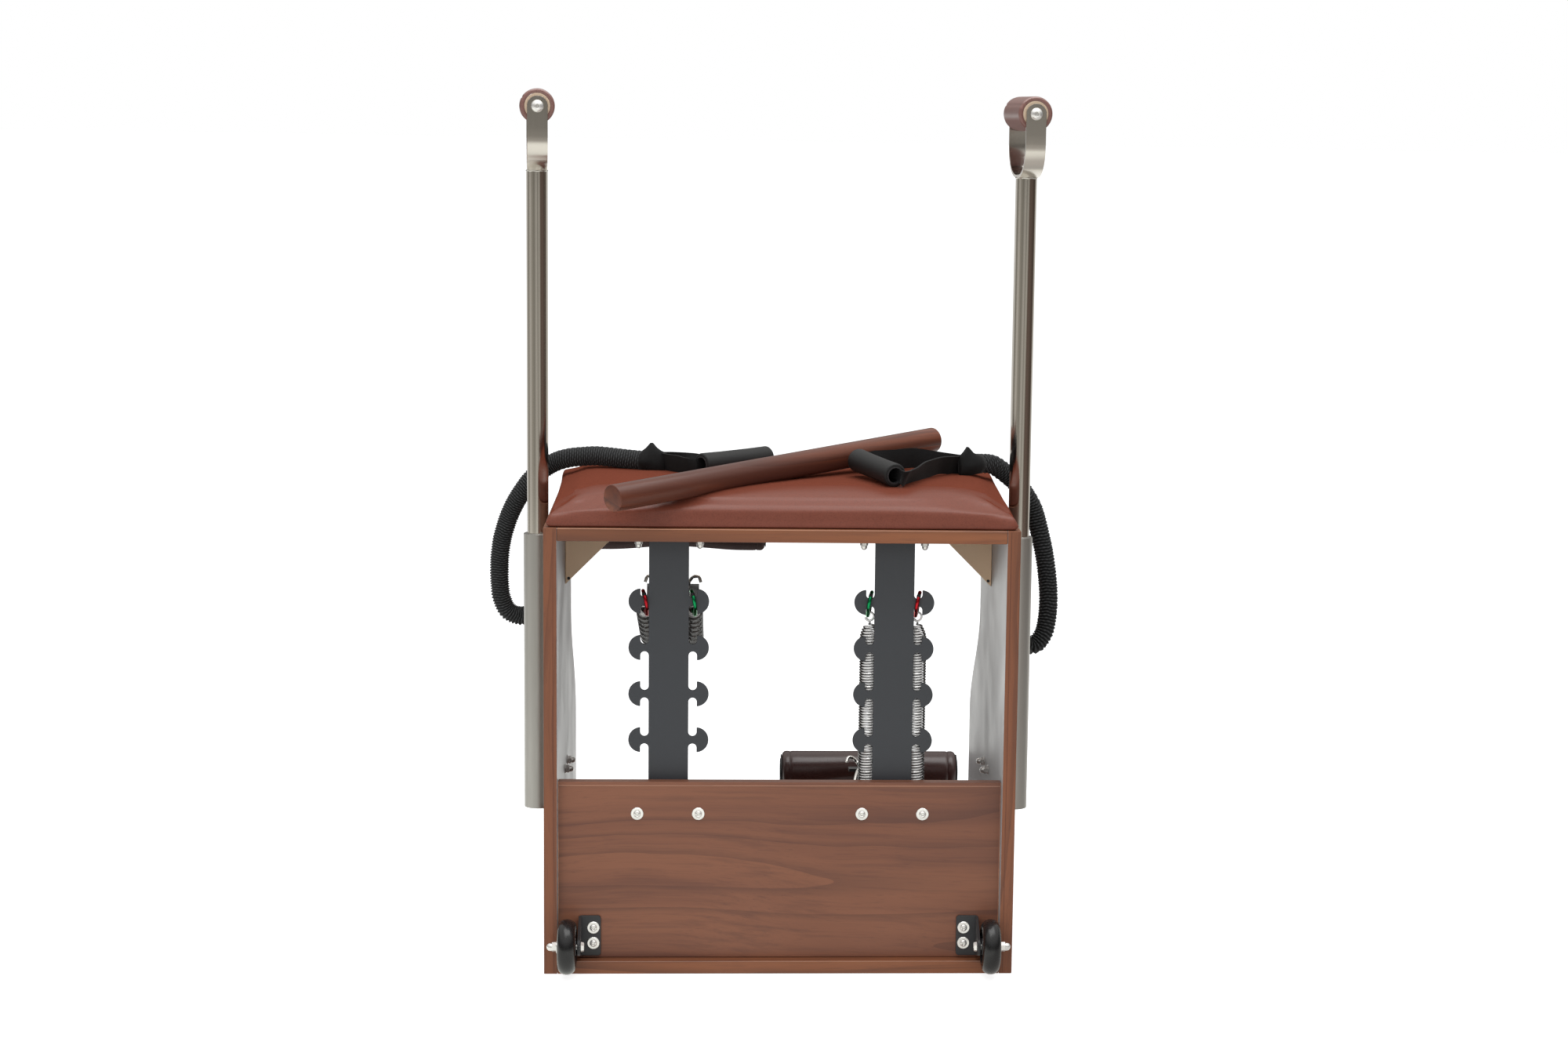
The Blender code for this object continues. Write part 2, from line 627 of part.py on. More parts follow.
def build_pedal_arm(side, hinge):
    arm_end = ARM_LENGTH - PEDAL_TUBE_RADIUS * 0.6
    heel = -HUB_RADIUS * 0.3
    arm = block((ARM_WIDTH, arm_end - heel, ARM_DEPTH), (0, (arm_end + heel) / 2, 0))
    hollow_end = arm_end - ARM_SOLID_END
    hollow = block((ARM_WIDTH - 2 * ARM_WALL, hollow_end - 2 * heel, ARM_DEPTH - 2 * ARM_WALL),
                   (0, hollow_end / 2 + heel, 0))
    hub = rod_along((-ARM_WIDTH / 2, 0, 0), (ARM_WIDTH / 2, 0, 0), HUB_RADIUS)
    cross = block(CROSS_PLATE, (0, CROSS_PLATE_AT,
                                ARM_DEPTH / 2 + CROSS_PLATE[2] / 2 - CROSS_PLATE_SINK))
    bore = rod_along((-ARM_WIDTH, 0, 0), (ARM_WIDTH, 0, 0), PIN_RADIUS + PIN_CLEARANCE)
    saddle = rod_along((-ARM_WIDTH, ARM_LENGTH, 0), (ARM_WIDTH, ARM_LENGTH, 0),
                       PEDAL_TUBE_RADIUS + TOUCH, 24)
    boolean(arm, as_cutter(hollow, side + "_arm_hollow", hinge), "DIFFERENCE")
    boolean(arm, as_cutter(hub, side + "_arm_hub", hinge), "UNION")
    boolean(arm, as_cutter(cross, side + "_arm_cross_plate", hinge), "UNION")
    for name, sign in SIDES.items():
        hook = to_mesh(wire(spring_hook_points(sign), HOOK_ROD_RADIUS, 1))
        boolean(arm, as_cutter(hook, side + "_arm_hook_" + name, hinge), "UNION")
    boolean(arm, as_cutter(bore, side + "_arm_bore", hinge), "DIFFERENCE")
    boolean(arm, as_cutter(saddle, side + "_arm_saddle", hinge), "DIFFERENCE")
    as_part(arm, side + "_pedal_arm", "black_paint", hinge)


def build_pedal_tube(side, hinge):
    tube = turned(ring_profile(PEDAL_TUBE_RADIUS, PEDAL_TUBE_RADIUS - PEDAL_TUBE_WALL,
                               -PEDAL_TUBE_HALF, PEDAL_TUBE_HALF), 24, closed=True)
    tube.location = (0, ARM_LENGTH, 0)
    tube.rotation_euler = (0, math.radians(90), 0)
    as_part(tube, side + "_pedal_tube", "black_paint", hinge)


def pad_radius(x, angle):
    """The pad's radius: rounded ends, and drawn in towards the arm underneath."""
    from_end = max(0.0, PAD_HALF - abs(x))
    from_round = PAD_CORNER - min(PAD_CORNER, from_end)
    inset = PAD_CORNER - math.sqrt(max(0.0, PAD_CORNER ** 2 - from_round ** 2))
    towards_arm = max(0.0, math.cos(angle - math.radians(215))) ** 2
    middle = (1 + math.cos(math.pi * min(1.0, abs(x) / (PAD_HALF * 0.75)))) / 2
    return PAD_RADIUS - inset - PAD_RELIEF * towards_arm * middle


def build_pedal_pad(side, hinge):
    """Padded roller as a loft of rings along X, bored for its tube and slotted for the arm."""
    sides = 20
    stations = [-PAD_HALF + e for e in PAD_END_STATIONS]
    stations += [-PAD_MIDDLE_STATION, 0.0, PAD_MIDDLE_STATION]
    stations += [PAD_HALF - e for e in reversed(PAD_END_STATIONS)]
    bm = bmesh.new()
    rings = []
    for x in stations:
        ring = []
        for k in range(sides):
            angle = 2 * math.pi * k / sides
            r = pad_radius(x, angle)
            ring.append(bm.verts.new((x, r * math.cos(angle), r * math.sin(angle))))
        rings.append(ring)
    for low, high in zip(rings, rings[1:]):
        for k in range(sides):
            n = (k + 1) % sides
            bm.faces.new((low[k], low[n], high[n], high[k]))
    bm.faces.new(list(reversed(rings[0])))
    bm.faces.new(rings[-1])
    bmesh.ops.recalc_face_normals(bm, faces=bm.faces)
    mesh = bpy.data.meshes.new("pad")
    bm.to_mesh(mesh)
    bm.free()
    pad = bpy.data.objects.new("pad", mesh)
    pad.location = (0, ARM_LENGTH, 0)
    bore = rod_along((-PAD_HALF * 1.2, ARM_LENGTH, 0), (PAD_HALF * 1.2, ARM_LENGTH, 0),
                     PEDAL_TUBE_RADIUS + PAD_CLEARANCE, 24)
    slot = block((ARM_WIDTH + 2 * PAD_CLEARANCE, 2 * PAD_RADIUS, ARM_DEPTH + 2 * PAD_CLEARANCE),
                 (0, ARM_LENGTH - PAD_RADIUS, 0))
    boolean(pad, as_cutter(bore, side + "_pad_bore", hinge), "DIFFERENCE")
    boolean(pad, as_cutter(slot, side + "_pad_slot", hinge), "DIFFERENCE")
    as_part(pad, side + "_pedal_pad", "pedal_leather", hinge)


def build_pedals():
    rest = {"left": PEDAL_UP, "right": PEDAL_DOWN}
    for side, sign in SIDES.items():
        pivot_x = sign * POST_X
        build_hinge_bracket(side, pivot_x)
        build_pivot_pin(side, pivot_x)
        hinge = empty(side + "_pedal_pivot", (pivot_x, PIVOT_Y, PIVOT_Z), (rest[side], 0, 0))
        build_pedal_arm(side, hinge)
        build_pedal_tube(side, hinge)
        build_pedal_pad(side, hinge)


# Springs and carabiners
def spring_points(length):
    """One wire from eye to eye along -Z: eye, run-in, tapered curls, run-out, eye."""
    lead = 2 * EYE_RADIUS
    body = length - 2 * lead
    count = SPRING_CURLS * POINTS_PER_CURL
    points = []
    for k in range(7):
        angle = math.radians(-60 + EYE_STEP * k)
        points.append((EYE_RADIUS * math.sin(angle), 0.0, EYE_RADIUS * math.cos(angle)))
    points.append((0.0, 0.0, -lead + 0.002))
    for k in range(count + 1):
        share = k / count
        turns = SPRING_CURLS * share
        ends = min(turns, SPRING_CURLS - turns, 3.0) / 3.0
        radius = SPRING_END_RADIUS + (SPRING_RADIUS - SPRING_END_RADIUS) * ends
        angle = 2 * math.pi * turns
        points.append((radius * math.sin(angle), radius * math.cos(angle), -lead - body * share))
    tail = [(x, 0.0, -length - z) for x, y, z in points[:8]]
    return points + tail[::-1]


def least_gap(points, wire_radius):
    """The least distance between the wire's turns, measured between points on its route."""
    route = np.array(points)
    fine = np.concatenate([route[:-1] + (route[1:] - route[:-1]) * s for s in (0.0, 0.5)])
    order = np.argsort(np.concatenate([np.arange(len(route) - 1) + s for s in (0.0, 0.5)]))
    fine = fine[order]
    run = np.concatenate([[0.0], np.cumsum(np.linalg.norm(np.diff(fine, axis=0), axis=1))])
    gaps = np.linalg.norm(fine[:, None] - fine[None], axis=2)
    apart = np.abs(run[:, None] - run[None]) > 8 * wire_radius
    return gaps[apart].min() - 2 * wire_radius


def ring_points():
    """The carabiner's rounded loop in its own YZ plane, hanging down from its top bar."""
    top = arc((0, 0), RING_HALF_WIDTH, 0, 180, 7)
    bottom = arc((0, -RING_STRAIGHT), RING_HALF_WIDTH, 180, 360, 7)
    return [(0.0, y, z) for y, z in top + bottom]


def eye_seat(bar_radius):
    """How far a loaded eye's centre lies from the bar it bears on."""
    return EYE_RADIUS * math.cos(math.radians(EYE_STEP / 2)) - SPRING_WIRE - bar_radius - EYE_PLAY


def build_springs():
    """Four carabiners round the top hooks' necks, two springs loaded and two hanging free."""
    colours = {("left", -1): "red", ("left", 1): "green", ("right", -1): "green", ("right", 1): "red"}
    seat_y, seat_z = RING_SEAT
    for side, sign in SIDES.items():
        for slot_sign, place_name in ((-1, "left"), (1, "right")):
            name = side + "_post_" + place_name
            x = sign * POST_X + slot_sign * SLOT_X
            ring = wire(ring_points(), RING_ROD, 1, cyclic=True)
            ring.rotation_euler = (RING_TILT, 0, 0)
            ring.location = (x, POST_Y + seat_y, HOOK_TOP_Z + seat_z)
            as_part(ring, name + "_carabiner", colours[side, slot_sign] + "_aluminium")
            down_ring = Vector((0, math.sin(RING_TILT), -math.cos(RING_TILT)))
            low_arc = ring.location + RING_STRAIGHT * down_ring
            pull, length = Vector((0, 0, -1)), SPRING_FREE_LENGTH
            if side == "left":
                turn = Matrix.Rotation(PEDAL_UP, 3, "X")
                bar = Vector((x, PIVOT_Y, PIVOT_Z)) + turn @ Vector((0, *LOWER_HOOK))
                pull = (bar - low_arc).normalized()
                length = ((bar - low_arc).length - RING_HALF_WIDTH - eye_seat(RING_ROD)
                          - eye_seat(HOOK_ROD_RADIUS))
            points = spring_points(length)
            print(name, "least gap between curls, mm:",
                  round(least_gap(points, SPRING_WIRE) * 1000, 2))
            spring = wire(points, SPRING_WIRE, 1)
            spring.location = low_arc + pull * (RING_HALF_WIDTH + eye_seat(RING_ROD))
            spring.rotation_euler = (math.atan2(pull.y, -pull.z), 0, 0)
            as_part(spring, name + "_spring", "spring_chrome")


# Handle poles
def build_sleeve(side, sign):
    """Extruded guide: a round tube on a flat flange that is bolted to the side panel."""
    thickness, width = SLEEVE_FLANGE
    middle_z = SLEEVE_BOTTOM_Z + SLEEVE_HEIGHT / 2
    face_x = FRAME_WIDTH / 2 + TOUCH
    sleeve = block((thickness, width, SLEEVE_HEIGHT),
                   (sign * (face_x + thickness / 2), POLE_Y, middle_z))
    barrel = rod_along((sign * POLE_X, POLE_Y, SLEEVE_BOTTOM_Z),
                       (sign * POLE_X, POLE_Y, SLEEVE_BOTTOM_Z + SLEEVE_HEIGHT), SLEEVE_RADIUS, 24)
    web_depth = POLE_X - face_x - SLEEVE_RADIUS / 2
    web = block((web_depth, 2 * SLEEVE_RADIUS * 0.8, SLEEVE_HEIGHT),
                (sign * (face_x + web_depth / 2), POLE_Y, middle_z))
    bore = rod_along((sign * POLE_X, POLE_Y, SLEEVE_BOTTOM_Z + SLEEVE_FLOOR),
                     (sign * POLE_X, POLE_Y, SLEEVE_BOTTOM_Z + SLEEVE_HEIGHT + SLEEVE_FLOOR),
                     POLE_RADIUS + SLEEVE_CLEARANCE, 24)
    boolean(sleeve, as_cutter(barrel, side + "_sleeve_barrel"), "UNION")
    boolean(sleeve, as_cutter(web, side + "_sleeve_web"), "UNION")
    boolean(sleeve, as_cutter(bore, side + "_sleeve_bore"), "DIFFERENCE")
    as_part(sleeve, side + "_pole_sleeve", "sleeve_aluminium")


def fork_outline():
    """The bent strap from the side: two upright arms that curve in to the pole's top."""
    inner = ROLLER_LENGTH / 2 + ROLLER_PLAY
    outer = inner + FORK_STRAP
    top = FORK_AXLE_Z + FORK_WIDTH / 2
    bottom = POLE_TOP_Z + TOUCH
    rise = FORK_BEND_Z - bottom

    def sweep(half_width, low, height):
        """A quarter of a flattened oval from the pole's edge out to the arm."""
        points = []
        for i in range(8):
            angle = math.radians(90 * i / 7)
            points.append((half_width * math.sin(angle) ** 0.8,
                           low + height * (1 - math.cos(angle) ** 0.9)))
        return points

    outside = [(POLE_RADIUS, bottom)] + sweep(outer, bottom, rise)[1:]
    inside = sweep(inner, bottom + FORK_STRAP, rise - FORK_STRAP)
    half = outside + [(outer, top), (inner, top)] + list(reversed(inside))
    return half + [(-a, b) for a, b in reversed(half) if a > 0]


def build_pole(side, sign):
    turn = empty(side + "_pole_axis", (sign * POLE_X, POLE_Y, 0), (0, 0, POLE_TURN[side]))
    bottom = SLEEVE_BOTTOM_Z + SLEEVE_FLOOR + TOUCH
    pole = turned(ring_profile(POLE_RADIUS, POLE_RADIUS - POLE_WALL, bottom, POLE_TOP_Z), 24,
                  closed=True)
    as_part(pole, side + "_handle_pole", "polished_steel", turn)

    fork = to_mesh(plate(fork_outline(), FORK_WIDTH, FACING_SIDE, (0, 0, 0)))
    half = FORK_WIDTH / 2
    front = [(-half, POLE_TOP_Z - half), (half, POLE_TOP_Z - half)]
    front += arc((0, FORK_AXLE_Z), half, 0, 180, 12)
    shape = to_mesh(plate(front, 2 * ROLLER_LENGTH, FACING_REAR, (0, 0, 0)))
    boolean(fork, as_cutter(shape, side + "_fork_front_view", turn), "INTERSECT")
    reach = ROLLER_LENGTH
    hole = rod_along((0, -reach, FORK_AXLE_Z), (0, reach, FORK_AXLE_Z), AXLE_RADIUS + TOUCH, 16)
    boolean(fork, as_cutter(hole, side + "_fork_axle_hole", turn), "DIFFERENCE")
    as_part(fork, side + "_handle_fork", "polished_steel", turn)

    half_length = ROLLER_LENGTH / 2
    core = turned(ring_profile(CORE_RADIUS, AXLE_RADIUS + TOUCH, -half_length, half_length), 24,
                  closed=True)
    cover_end = [(CORE_RADIUS + TOUCH, half_length), (ROLLER_RADIUS - COVER_EDGE, half_length),
                 (ROLLER_RADIUS, half_length - COVER_EDGE)]
    cover = turned(cover_end + [(r, -z) for r, z in reversed(cover_end)], 24, closed=True)
    face = half_length + ROLLER_PLAY + FORK_STRAP + TOUCH
    axle_end = [(0, face + BOLT_DOME), (BOLT_HEAD_RADIUS * 0.55, face + BOLT_DOME * 0.85),
                (BOLT_HEAD_RADIUS * 0.88, face + BOLT_DOME * 0.5), (BOLT_HEAD_RADIUS, face),
                (AXLE_RADIUS, face)]
    axle = turned(axle_end + [(r, -z) for r, z in reversed(axle_end)], 16)
    for piece, name, finish in ((core, "_roller_core", "beige_core"),
                                (cover, "_roller_cover", "seat_leather"),
                                (axle, "_roller_axle", "polished_steel")):
        piece.location = (0, 0, FORK_AXLE_Z)
        piece.rotation_euler = FACING_REAR
        as_part(piece, side + name, finish, turn)


# Transport wheels
def build_wheel(side, sign):
    wheel_y = REAR_Y - WHEEL_BEHIND
    half = WHEEL_WIDTH / 2
    base = HUB_SEAT_RADIUS + TYRE_WALL
    tyre_profile = [(base + (WHEEL_RADIUS - base) * math.cos(a), half * math.sin(a))
                    for a in np.linspace(math.pi / 2, -math.pi / 2, 7)]
    seat = HUB_SEAT_RADIUS + TOUCH
    tyre = turned(tyre_profile + [(seat, -half * 0.86), (seat, half * 0.86)], 24, closed=True)
    hub_end = [(AXLE_RADIUS + TOUCH, half), (HUB_BOSS_RADIUS - TOUCH, half),
               (HUB_BOSS_RADIUS, half * 0.8), (HUB_SEAT_RADIUS, half * 0.8)]
    hub = turned(hub_end + [(r, -z) for r, z in reversed(hub_end)], 16, closed=True)
    _, plate_t, plate_h = WHEEL_PLATE
    plate_y = BACK_FACE_Y - TOUCH - plate_t / 2
    bracket = block(WHEEL_PLATE, (sign * WHEEL_PLATE_X, plate_y, WHEEL_PLATE_Z), EDGE_ROUND)
    flange_face = WHEEL_X - half - WHEEL_GAP
    reach = plate_y + plate_t / 2 - wheel_y
    half_h = plate_h / 2
    drop = WHEEL_Z - WHEEL_PLATE_Z
    ear = [(0, half_h), (0, -half_h)] + arc((-reach, drop), WHEEL_EAR_RADIUS, 270, 90, 10)
    flange_x = flange_face - plate_t / 2
    flange = to_mesh(plate(ear, plate_t, FACING_SIDE,
                           (sign * flange_x, plate_y + plate_t / 2, WHEEL_PLATE_Z)))
    boolean(bracket, as_cutter(flange, side + "_wheel_flange"), "UNION")
    bore = rod_along((sign * (flange_x - plate_t), wheel_y, WHEEL_Z),
                     (sign * (flange_x + plate_t), wheel_y, WHEEL_Z), AXLE_RADIUS + TOUCH, 16)
    boolean(bracket, as_cutter(bore, side + "_wheel_bore"), "DIFFERENCE")
    as_part(bracket, side + "_wheel_bracket", "black_paint")
    inside = flange_face - plate_t - TOUCH - WHEEL_X
    outside = half + TOUCH
    head_radius, head_depth = AXLE_HEAD
    nut = [(r, outside + z) for r, z in reversed(AXLE_NUT)]
    axle = turned(nut + [(AXLE_NUT[0][0], outside), (AXLE_RADIUS, outside), (AXLE_RADIUS, inside),
                         (head_radius, inside), (head_radius, inside - head_depth),
                         (0, inside - head_depth)], 12)
    for piece, name, finish in ((tyre, "_wheel_tyre", "wheel_rubber"),
                                (hub, "_wheel_hub", "black_paint"),
                                (axle, "_wheel_axle", "polished_steel")):
        piece.location = (sign * WHEEL_X, wheel_y, WHEEL_Z)
        piece.rotation_euler = (0, math.radians(90) * sign, 0)
        as_part(piece, side + name, finish)


# Resistance cords, their anchors, straps and grips
def build_anchor(side, sign):
    """A flanged stud on the side panel whose ball meets the cord's end."""
    flange_radius, flange = ANCHOR_FLANGE
    ball = arc((0, ANCHOR_REACH), ANCHOR_BALL, 90, -40, 6)
    profile = ball[:-1] + [(ANCHOR_NECK, ANCHOR_REACH - ANCHOR_BALL), (ANCHOR_NECK, flange),
                           (flange_radius, flange), (flange_radius, 0), (0, 0)]
    anchor = turned(profile, 14)
    anchor.location = (sign * (FRAME_WIDTH / 2 + TOUCH), ANCHOR_Y, FRAME_HEIGHT - ANCHOR_BELOW_TOP)
    anchor.rotation_euler = (0, math.radians(90) * sign, 0)
    as_part(anchor, side + "_cord_anchor", "black_paint")


def build_cord(side, sign):
    ball = (TOUCH + ANCHOR_REACH, ANCHOR_FROM_REAR, -ANCHOR_BELOW_TOP)
    route = [beside(sign, point) for point in [ball] + CORD_ROUTES[side] + [CORD_ENDS[side]]]
    points, length = smooth_route(route, CORD_STEP)
    points[0] += (points[1] - points[0]).normalized() * (ANCHOR_BALL + TOUCH)
    print(side, "cord length, mm:", round(length * 1000))
    as_part(wire(points, CORD_RADIUS, 2), side + "_cord", "cord_fabric")


def build_strap(side, sign):
    """Webbing loop that stands on edge on the seat and runs through the grip."""
    near, far = (beside(sign, end) for end in GRIP_ENDS[side])
    lead = (far - near).normalized() * STRAP_LEAD
    height = SEAT_GAP + CUSHION_CROWN + STRAP_LIFT + STRAP_WIDTH / 2
    route = [near - lead, far + lead]
    route += [beside(sign, (out, from_rear, height)) for out, from_rear in STRAP_ROUTES[side]]
    curve = wire(route, 0.0, 0, cyclic=True)
    curve.data.extrude = STRAP_WIDTH / 2
    curve.data.twist_mode = "Z_UP"
    strap = to_mesh(curve)
    shell = strap.modifiers.new("webbing", "SOLIDIFY")
    shell.thickness = STRAP_THICKNESS
    shell.offset = 0.0
    as_part(strap, side + "_handle_strap", "strap_webbing")


def lay_along(obj, start, end):
    """Puts something made along Z between two points."""
    obj.location = (start + end) / 2
    obj.rotation_euler = (end - start).to_track_quat("Z", "Y").to_euler()


def build_grip(side, sign):
    near, far = (beside(sign, end) for end in GRIP_ENDS[side])
    half = (far - near).length / 2
    end = [(GRIP_BORE, half), (GRIP_RADIUS - GRIP_EDGE, half), (GRIP_RADIUS, half - GRIP_EDGE)]
    grip = turned(end + [(r, -z) for r, z in reversed(end)], 20, closed=True)
    lay_along(grip, near, far)
    as_part(grip, side + "_cord_grip", "grip_foam")


def build_rod():
    start, end = (beside(1, point) for point in ROD_ENDS)
    half = (end - start).length / 2
    tip = [(0, half), (ROD_RADIUS - ROD_EDGE, half), (ROD_RADIUS, half - ROD_EDGE)]
    rod = turned(tip + [(r, -z) for r, z in reversed(tip)], 24)
    lay_along(rod, start, end)
    as_part(rod, "joining_rod", "walnut")


def main():
    global PARTS, CUTTERS
    clear_scene()
    PARTS = new_collection("pilates_chair")
    CUTTERS = new_collection("cutters")
    build_frame()
    build_cushion()
    build_posts()
    build_pedals()
    build_springs()
    for side, sign in SIDES.items():
        build_sleeve(side, sign)
        build_pole(side, sign)
        build_wheel(side, sign)
        build_anchor(side, sign)
        build_cord(side, sign)
        build_strap(side, sign)
        build_grip(side, sign)
    build_rod()
    bpy.context.view_layer.update()


main()
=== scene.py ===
"""The split-pedal pilates chair as it is seen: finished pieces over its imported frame."""

from math import acos, atan2, copysign, cos, degrees, exp, floor, hypot, pi, radians, sin, sqrt

import bmesh
import bpy
from mathutils import Matrix, Vector, noise


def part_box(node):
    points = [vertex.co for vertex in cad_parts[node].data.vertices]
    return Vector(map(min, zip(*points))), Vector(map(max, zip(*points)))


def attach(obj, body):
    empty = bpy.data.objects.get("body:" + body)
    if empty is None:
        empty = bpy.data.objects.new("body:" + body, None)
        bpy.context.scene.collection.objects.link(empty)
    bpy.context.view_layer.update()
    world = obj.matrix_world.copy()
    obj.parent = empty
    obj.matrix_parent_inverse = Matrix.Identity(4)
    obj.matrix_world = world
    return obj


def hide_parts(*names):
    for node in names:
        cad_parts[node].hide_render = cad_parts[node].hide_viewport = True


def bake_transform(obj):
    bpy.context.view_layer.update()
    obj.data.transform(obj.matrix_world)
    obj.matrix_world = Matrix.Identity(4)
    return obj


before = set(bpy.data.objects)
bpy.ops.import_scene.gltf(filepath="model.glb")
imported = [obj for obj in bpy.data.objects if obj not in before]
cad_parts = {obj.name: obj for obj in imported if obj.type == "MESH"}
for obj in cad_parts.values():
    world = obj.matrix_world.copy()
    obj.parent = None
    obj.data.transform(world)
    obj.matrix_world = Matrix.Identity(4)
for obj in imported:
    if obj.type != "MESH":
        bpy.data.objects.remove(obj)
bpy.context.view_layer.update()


def mm(text):
    """Rows of metres from rows of millimetres, with commas between the rows."""
    return [tuple(float(number) / 1000 for number in row.split()) for row in text.split(",")]



# Sizes shared with the frame, in metres
SIDES = {"left": -1, "right": 1}
FRAME_WIDTH, FRAME_HEIGHT, BOARD = 0.64, 0.614, 0.018
PANEL_TOP_DEPTH, PANEL_BASE_DEPTH = 0.4, 0.55
SWEEP_TOP_Z, SWEEP_BOTTOM_Z = 0.445, 0.258
TOUCH = 0.0003
REAR_Y = -PANEL_BASE_DEPTH / 2
INNER_X = FRAME_WIDTH / 2 - BOARD
BACK_FACE_Y = REAR_Y + 0.018
POST_X, POST_HALF, POST_PLATE = 0.153, 0.027, 0.005
POST_Y = BACK_FACE_Y + BOARD + 0.0056
HOOK_TOP_Z, HOOK_PITCH, HOOK_RADIUS, HOOK_OFFSET = 0.5087, 0.0638, 0.017, 0.0105
SLOT_WIDTH, NECK_HEIGHT = 0.0114, 0.01
SLOT_X = POST_HALF + SLOT_WIDTH / 2
PIVOT = (REAR_Y + 0.085, 0.205)
PEDAL_ANGLE = {"left": 35.0, "right": -6.6}
ARM_LENGTH, ARM_DEPTH = 0.579, 0.036
CROSS_PLATE_AT, LOWER_HOOK = 0.418, (0.352, -0.012)
PAD_RADIUS, PAD_HALF = 0.032, 0.137
PEDAL_TUBE_RADIUS, PEDAL_TUBE_HALF = 0.02, 0.14
RING_HALF_WIDTH, RING_STRAIGHT, RING_ROD = 0.0125, 0.016, 0.0025
RING_TILT, RING_SEAT = radians(52.0), (0.00746, 0.0011)
EYE_RADIUS, SPRING_WIRE, SPRING_FREE_LENGTH = 0.006, 0.0014, 0.292
POLE_X, POLE_Y, POLE_RADIUS, POLE_TOP_Z = 0.3415, REAR_Y + 0.25, 0.015, 1.08
POLE_TURN = {"left": 4.0, "right": 5.0}
SLEEVE_BOTTOM_Z, SLEEVE_HEIGHT, SLEEVE_RADIUS = 0.177, 0.395, 0.02
FORK_AXLE_Z, FORK_BEND_Z, FORK_STRAP, FORK_WIDTH = 1.169, 1.128, 0.004, 0.028
ROLLER_LENGTH, ROLLER_RADIUS, CORE_RADIUS = 0.12, 0.024, 0.0177
WHEEL_X, WHEEL_Y, WHEEL_Z = 0.2875, REAR_Y - 0.027, 0.0455
WHEEL_RADIUS, WHEEL_WIDTH, WHEEL_PLATE_X, WHEEL_PLATE_Z = 0.0375, 0.025, 0.2585, 0.05
ANCHOR_Y, ANCHOR_Z, ANCHOR_REACH, ANCHOR_BALL = REAR_Y + 0.345, 0.462, 0.017, 0.008
CORD_RADIUS, CORD_STEP = 0.0132, 0.021
GRIP_RADIUS, GRIP_BORE, ROD_RADIUS = 0.0165, 0.011, 0.018
BOLT_X, HOOK_ROD, WHEEL_GAP, BRACKET_THICK = 0.0415, 0.0022, 0.0015, 0.004

# Cord routes as x, from the frame's rear, z, from the anchor's ball to the handle strap
CORD_ROUTES = {
    "left": mm("""-337.3 345 462, -348 345 447.5, -364 345 438.5, -380 345 438.5, -393.5 345 449,
        -400.5 345 469, -402.8 345 504, -399 342 546.5, -386.5 337 588, -370 330 619, -350 324 645,
        -326.5 320 662, -305 312 671.5, -262 295 677.5, -228 277 676.5, -183.5 258 674.5"""),
    "right": mm("""337.3 345 462, 342 345 440, 347.5 345 420, 356.5 345 404.5, 372 345 397.5, 385 345 405,
        393.5 345 423, 396.7 345 450, 396.7 345 479.6, 391 342 524, 381.5 337 565, 369.5 330 603,
        349 318 635, 329 308 654, 303 285 672, 274.5 258 674.5"""),
}
GRIP_ENDS = {"left": mm("-111 205 676.2, -17.5 285 678.5"), "right": mm("154 85 678, 108 200 685.5")}
ROD_ENDS = mm("-226 -62 662, 224.5 360 698")

# Straps from the grip's far end round to its near end: x, from the rear, z, which way the width leans,
# and half the width
UP = (0, 0, 1)
STRAP_SPINES = {
    "left": mm("""-11 299 676.8 0 0 1000 9.5, -18 310 675.5 100 300 1000 12.5,
        -45 308 672.5 0 200 1000 14, -95 285 669 0 900 700 14, -125 275 671.5 0 500 1000 14,
        -150 265 673.5 0 0 1000 14, -170 258 675.5 0 -300 1000 13.5, -160 244 673.5 0 -400 1000 14,
        -145 225 673.5 0 -300 1000 14, -131 211 674 100 -300 1000 11.5, -120 206.5 675.5 0 0 1000 8.5"""),
    "right": mm("""112 212 685 0 0 1000 9, 118 222 683.5 100 200 1000 11.5, 135 238 681 100 300 1000 13.8,
        162 262 680 0 0 1000 14, 190 284 680 0 0 1000 14, 215 285 677 0 0 1000 14,
        237 274 675 0 0 1000 14, 258 252 675 0 -300 1000 13.8, 244 238 675 0 -600 1000 14,
        225 215 676.5 0 -800 1000 14, 200 168 675 0 -800 1000 14, 177 112 673 500 -500 1000 13.5,
        170 86 673.5 400 -200 1000 11.5, 163.5 78.5 675.5 200 0 1000 9"""),
}

# Colours, linear
WALNUT = (0.188, 0.076, 0.046)
WALNUT_DARK = (0.105, 0.049, 0.038)
WALNUT_LIGHT = (0.255, 0.104, 0.058)


# Node helpers
def add(tree, kind, inputs=None, **settings):
    """A node with its settings, and its inputs set to values or linked to sockets."""
    item = tree.nodes.new(kind)
    for key, value in settings.items():
        setattr(item, key, value)
    for key, value in (inputs or {}).items():
        if isinstance(value, bpy.types.NodeSocket):
            tree.links.new(value, item.inputs[key])
        else:
            item.inputs[key].default_value = value
    return item


def made(tree, kind, inputs=None, **settings):
    """The first output of a new shader node."""
    return add(tree, "ShaderNode" + kind, inputs, **settings).outputs[0]


def math_node(tree, operation, a, b=0.0, c=0.0):
    return made(tree, "Math", {0: a, 1: b, 2: c}, operation=operation)


def times(tree, a, b):
    return math_node(tree, "MULTIPLY", a, b)


def plus(tree, a, b):
    return math_node(tree, "ADD", a, b)


def greater(tree, a, b):
    return math_node(tree, "MAXIMUM", a, b)


def vector_sum(tree, a, b):
    return made(tree, "VectorMath", {0: a, 1: b}, operation="ADD")


